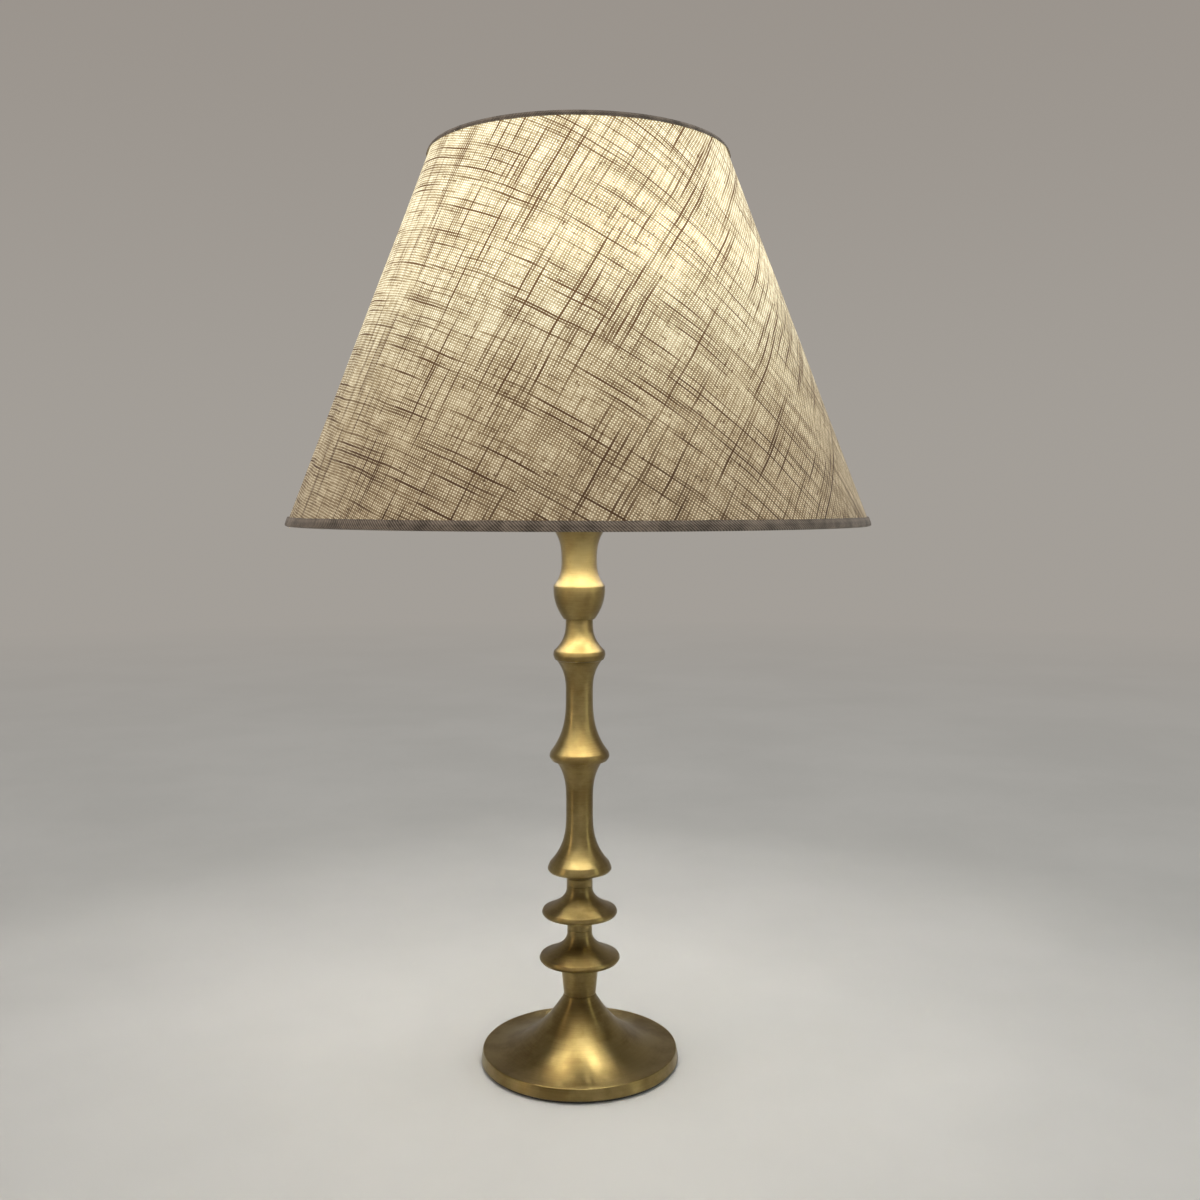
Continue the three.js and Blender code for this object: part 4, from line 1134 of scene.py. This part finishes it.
def add_arm(node, turn):
    """A round rod from the carrier ring out to the lower wire, in the upright plane of its angle."""
    base = seat_of("bottom_hem")
    path = spline(ARM_PATH, 9)
    across = (-math.sin(turn), math.cos(turn))
    corners = []
    for index, (reach, height) in enumerate(path):
        before = path[max(index - 1, 0)]
        after = path[min(index + 1, len(path) - 1)]
        length = math.hypot(after[0] - before[0], after[1] - before[1])
        up = (-(after[1] - before[1]) / length, (after[0] - before[0]) / length)
        for side in range(ARM_SIDES):
            angle = 2 * math.pi * side / ARM_SIDES
            lift = ARM_RADIUS * math.sin(angle)
            aside = ARM_RADIUS * math.cos(angle)
            out = reach + up[0] * lift
            corners.append((
                out * math.cos(turn) + across[0] * aside,
                out * math.sin(turn) + across[1] * aside,
                base + height + up[1] * lift,
            ))
    faces = [tuple(range(ARM_SIDES)), tuple(range(len(corners) - ARM_SIDES, len(corners)))]
    for index in range(len(path) - 1):
        for side in range(ARM_SIDES):
            first = index * ARM_SIDES + side
            second = index * ARM_SIDES + (side + 1) % ARM_SIDES
            faces.append((first, second, second + ARM_SIDES, first + ARM_SIDES))
    stand_for(add_mesh(node.replace("spider", "carrier"), corners, faces), node)


def add_shade():
    cloth = add_shade_panels()
    bottom = add_hem("bottom_hem", "hem_tape_bottom", 1, BOTTOM_HEM_BAND, 1.7)
    top = add_hem("top_hem", "hem_tape_top", -1, TOP_HEM_BAND, 4.1)
    ring_of_wire("bottom_wire_ring", "wire_bottom")
    ring_of_wire("top_wire_ring", "wire_top")
    for node, turn in ARM_ANGLES.items():
        add_arm(node, math.radians(turn))


def dress_frame():
    """Gives each CAD node that still shows its slot's material and slightly softened edges."""
    for name, node in frame["nodes"].items():
        for slot in node.material_slots:
            slot.material = MATERIALS[NODE_SLOTS[name]]
        if not node.hide_render:
            bevel = node.modifiers.new("soft_edges", "BEVEL")
            bevel.width = SOFT_EDGE * MM
            bevel.segments = 2
            bevel.limit_method = "ANGLE"
            bevel.angle_limit = math.radians(40)


def backdrop(shader, y, z):
    """The backdrop's tone in a direction: darker overhead, and darker towards negative y."""
    tone = shader.mix(shader.rescale(z, 0.0, 0.4), BACKDROP_LOW, BACKDROP_HIGH)
    tone = shader.mix(shader.rescale(z, 0.4, 0.95), tone, BACKDROP_TOP)
    return shader.mix(shader.rescale(y, -0.98, -0.55, 0.42, 0.0), tone, BACKDROP_TOP)


def add_stage():
    """A pale round floor that fades into the backdrop's tone far off."""
    shader = Shader("floor_pale")
    coordinates, x, y, _ = shader.place()
    reach = shader.math("SQRT", shader.total(shader.times(x, x), shader.times(y, y)))
    fade = shader.rescale(reach, *FLOOR_FADE, smooth=False)
    cloud = shader.noise(coordinates, 0.004, 4.0, 0.55)
    tint = shader.mix(shader.rescale(cloud, 0.3, 0.7), FLOOR_DARK, FLOOR_PALE)
    plain = shader.principled({"Base Color": tint, "Roughness": 0.85})
    tone = backdrop(shader, shader.math("DIVIDE", y, shader.math("MAXIMUM", reach, 1.0)), 0.0)
    far = shader.node("Emission", {"Color": tone, "Strength": 1.0}).outputs[0]
    material = shader.surface(shader.node("MixShader", {0: fade, 1: plain, 2: far}).outputs[0])
    corners = [(0.0, 0.0, 0.0)]
    for reach in FLOOR_RINGS:
        for side in range(FLOOR_SIDES):
            angle = 2 * math.pi * side / FLOOR_SIDES
            corners.append((reach * math.cos(angle), reach * math.sin(angle), 0.0))
    faces = [(0, 1 + side, 1 + (side + 1) % FLOOR_SIDES) for side in range(FLOOR_SIDES)]
    for ring in range(len(FLOOR_RINGS) - 1):
        for side in range(FLOOR_SIDES):
            first = 1 + ring * FLOOR_SIDES + side
            second = 1 + ring * FLOOR_SIDES + (side + 1) % FLOOR_SIDES
            faces.append((first, first + FLOOR_SIDES, second + FLOOR_SIDES, second))
    floor = add_mesh("floor", corners, faces, closed=False)
    floor.data.materials.append(material)


def add_world():
    """Even light for the object; the camera and glossy surfaces see the backdrop's tone."""
    shader = Shader("studio", bpy.data.worlds, "OutputWorld")
    direction = shader.node("SeparateXYZ", {0: shader.node("TexCoord").outputs["Generated"]}).outputs
    tone = backdrop(shader, direction[1], direction[2])
    side = shader.rescale(direction[0], -0.7, 0.7)
    room = shader.mix(side, ROOM_LEFT, ROOM_RIGHT)
    path = shader.node("LightPath").outputs
    seen = shader.math("MAXIMUM", path["Is Camera Ray"], path["Is Glossy Ray"])
    seen = shader.math("MAXIMUM", seen, path["Is Transmission Ray"])
    light = shader.node("Background", {"Color": shader.mix(seen, room, tone), "Strength": 1.0})
    bpy.context.scene.world = shader.surface(light.outputs[0])


def add_softbox(name, azimuth, elevation, distance, size, power, colour):
    """A soft light, size metres wide and high, aimed at the middle of the lamp."""
    data = bpy.data.lights.new(name, "AREA")
    data.shape = "RECTANGLE"
    data.size, data.size_y = size
    data.energy = power
    data.color = colour
    light = bpy.data.objects.new(name, data)
    turn, lift = math.radians(azimuth), math.radians(elevation)
    aim = Vector((0.0, 0.0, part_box("stem_upper_column")[0].z))
    out = Vector((math.sin(turn) * math.cos(lift), -math.cos(turn) * math.cos(lift), math.sin(lift)))
    light.location = aim + distance * out
    light.rotation_euler = (aim - light.location).to_track_quat("-Z", "Y").to_euler()
    light.visible_camera = False
    bpy.context.scene.collection.objects.link(light)


def add_lights():
    window = {"elevation": 14, "distance": 2.0, "size": (0.09, 1.4), "power": 3.2}
    add_softbox("window_left", azimuth=-64, colour=(1.0, 0.78, 0.54), **window)
    add_softbox("window_right", azimuth=66, colour=(0.94, 1.0, 0.80), **window)
    ceiling = {"elevation": 74, "distance": 2.2, "size": (1.4, 1.4), "power": 12.0}
    add_softbox("ceiling", azimuth=175, colour=(1.0, 0.99, 0.97), **ceiling)


def add_camera():
    data = bpy.data.cameras.new("camera")
    data.lens = CAMERA_LENS
    camera = bpy.data.objects.new("camera", data)
    camera.location = CAMERA_PLACE
    camera.rotation_euler = (math.radians(90 - CAMERA_DIP), 0, 0)
    bpy.context.scene.collection.objects.link(camera)
    bpy.context.scene.camera = camera


bpy.context.scene.view_settings.view_transform = "Standard"
add_camera()
add_foot()
add_felt()
add_stem()
add_holder_cap()
add_switch()
add_holder_skirt()
add_rings()
add_lamp_cap()
add_lamp_body()
add_globe()
add_shade()
dress_frame()
add_stage()
add_world()
add_lights()
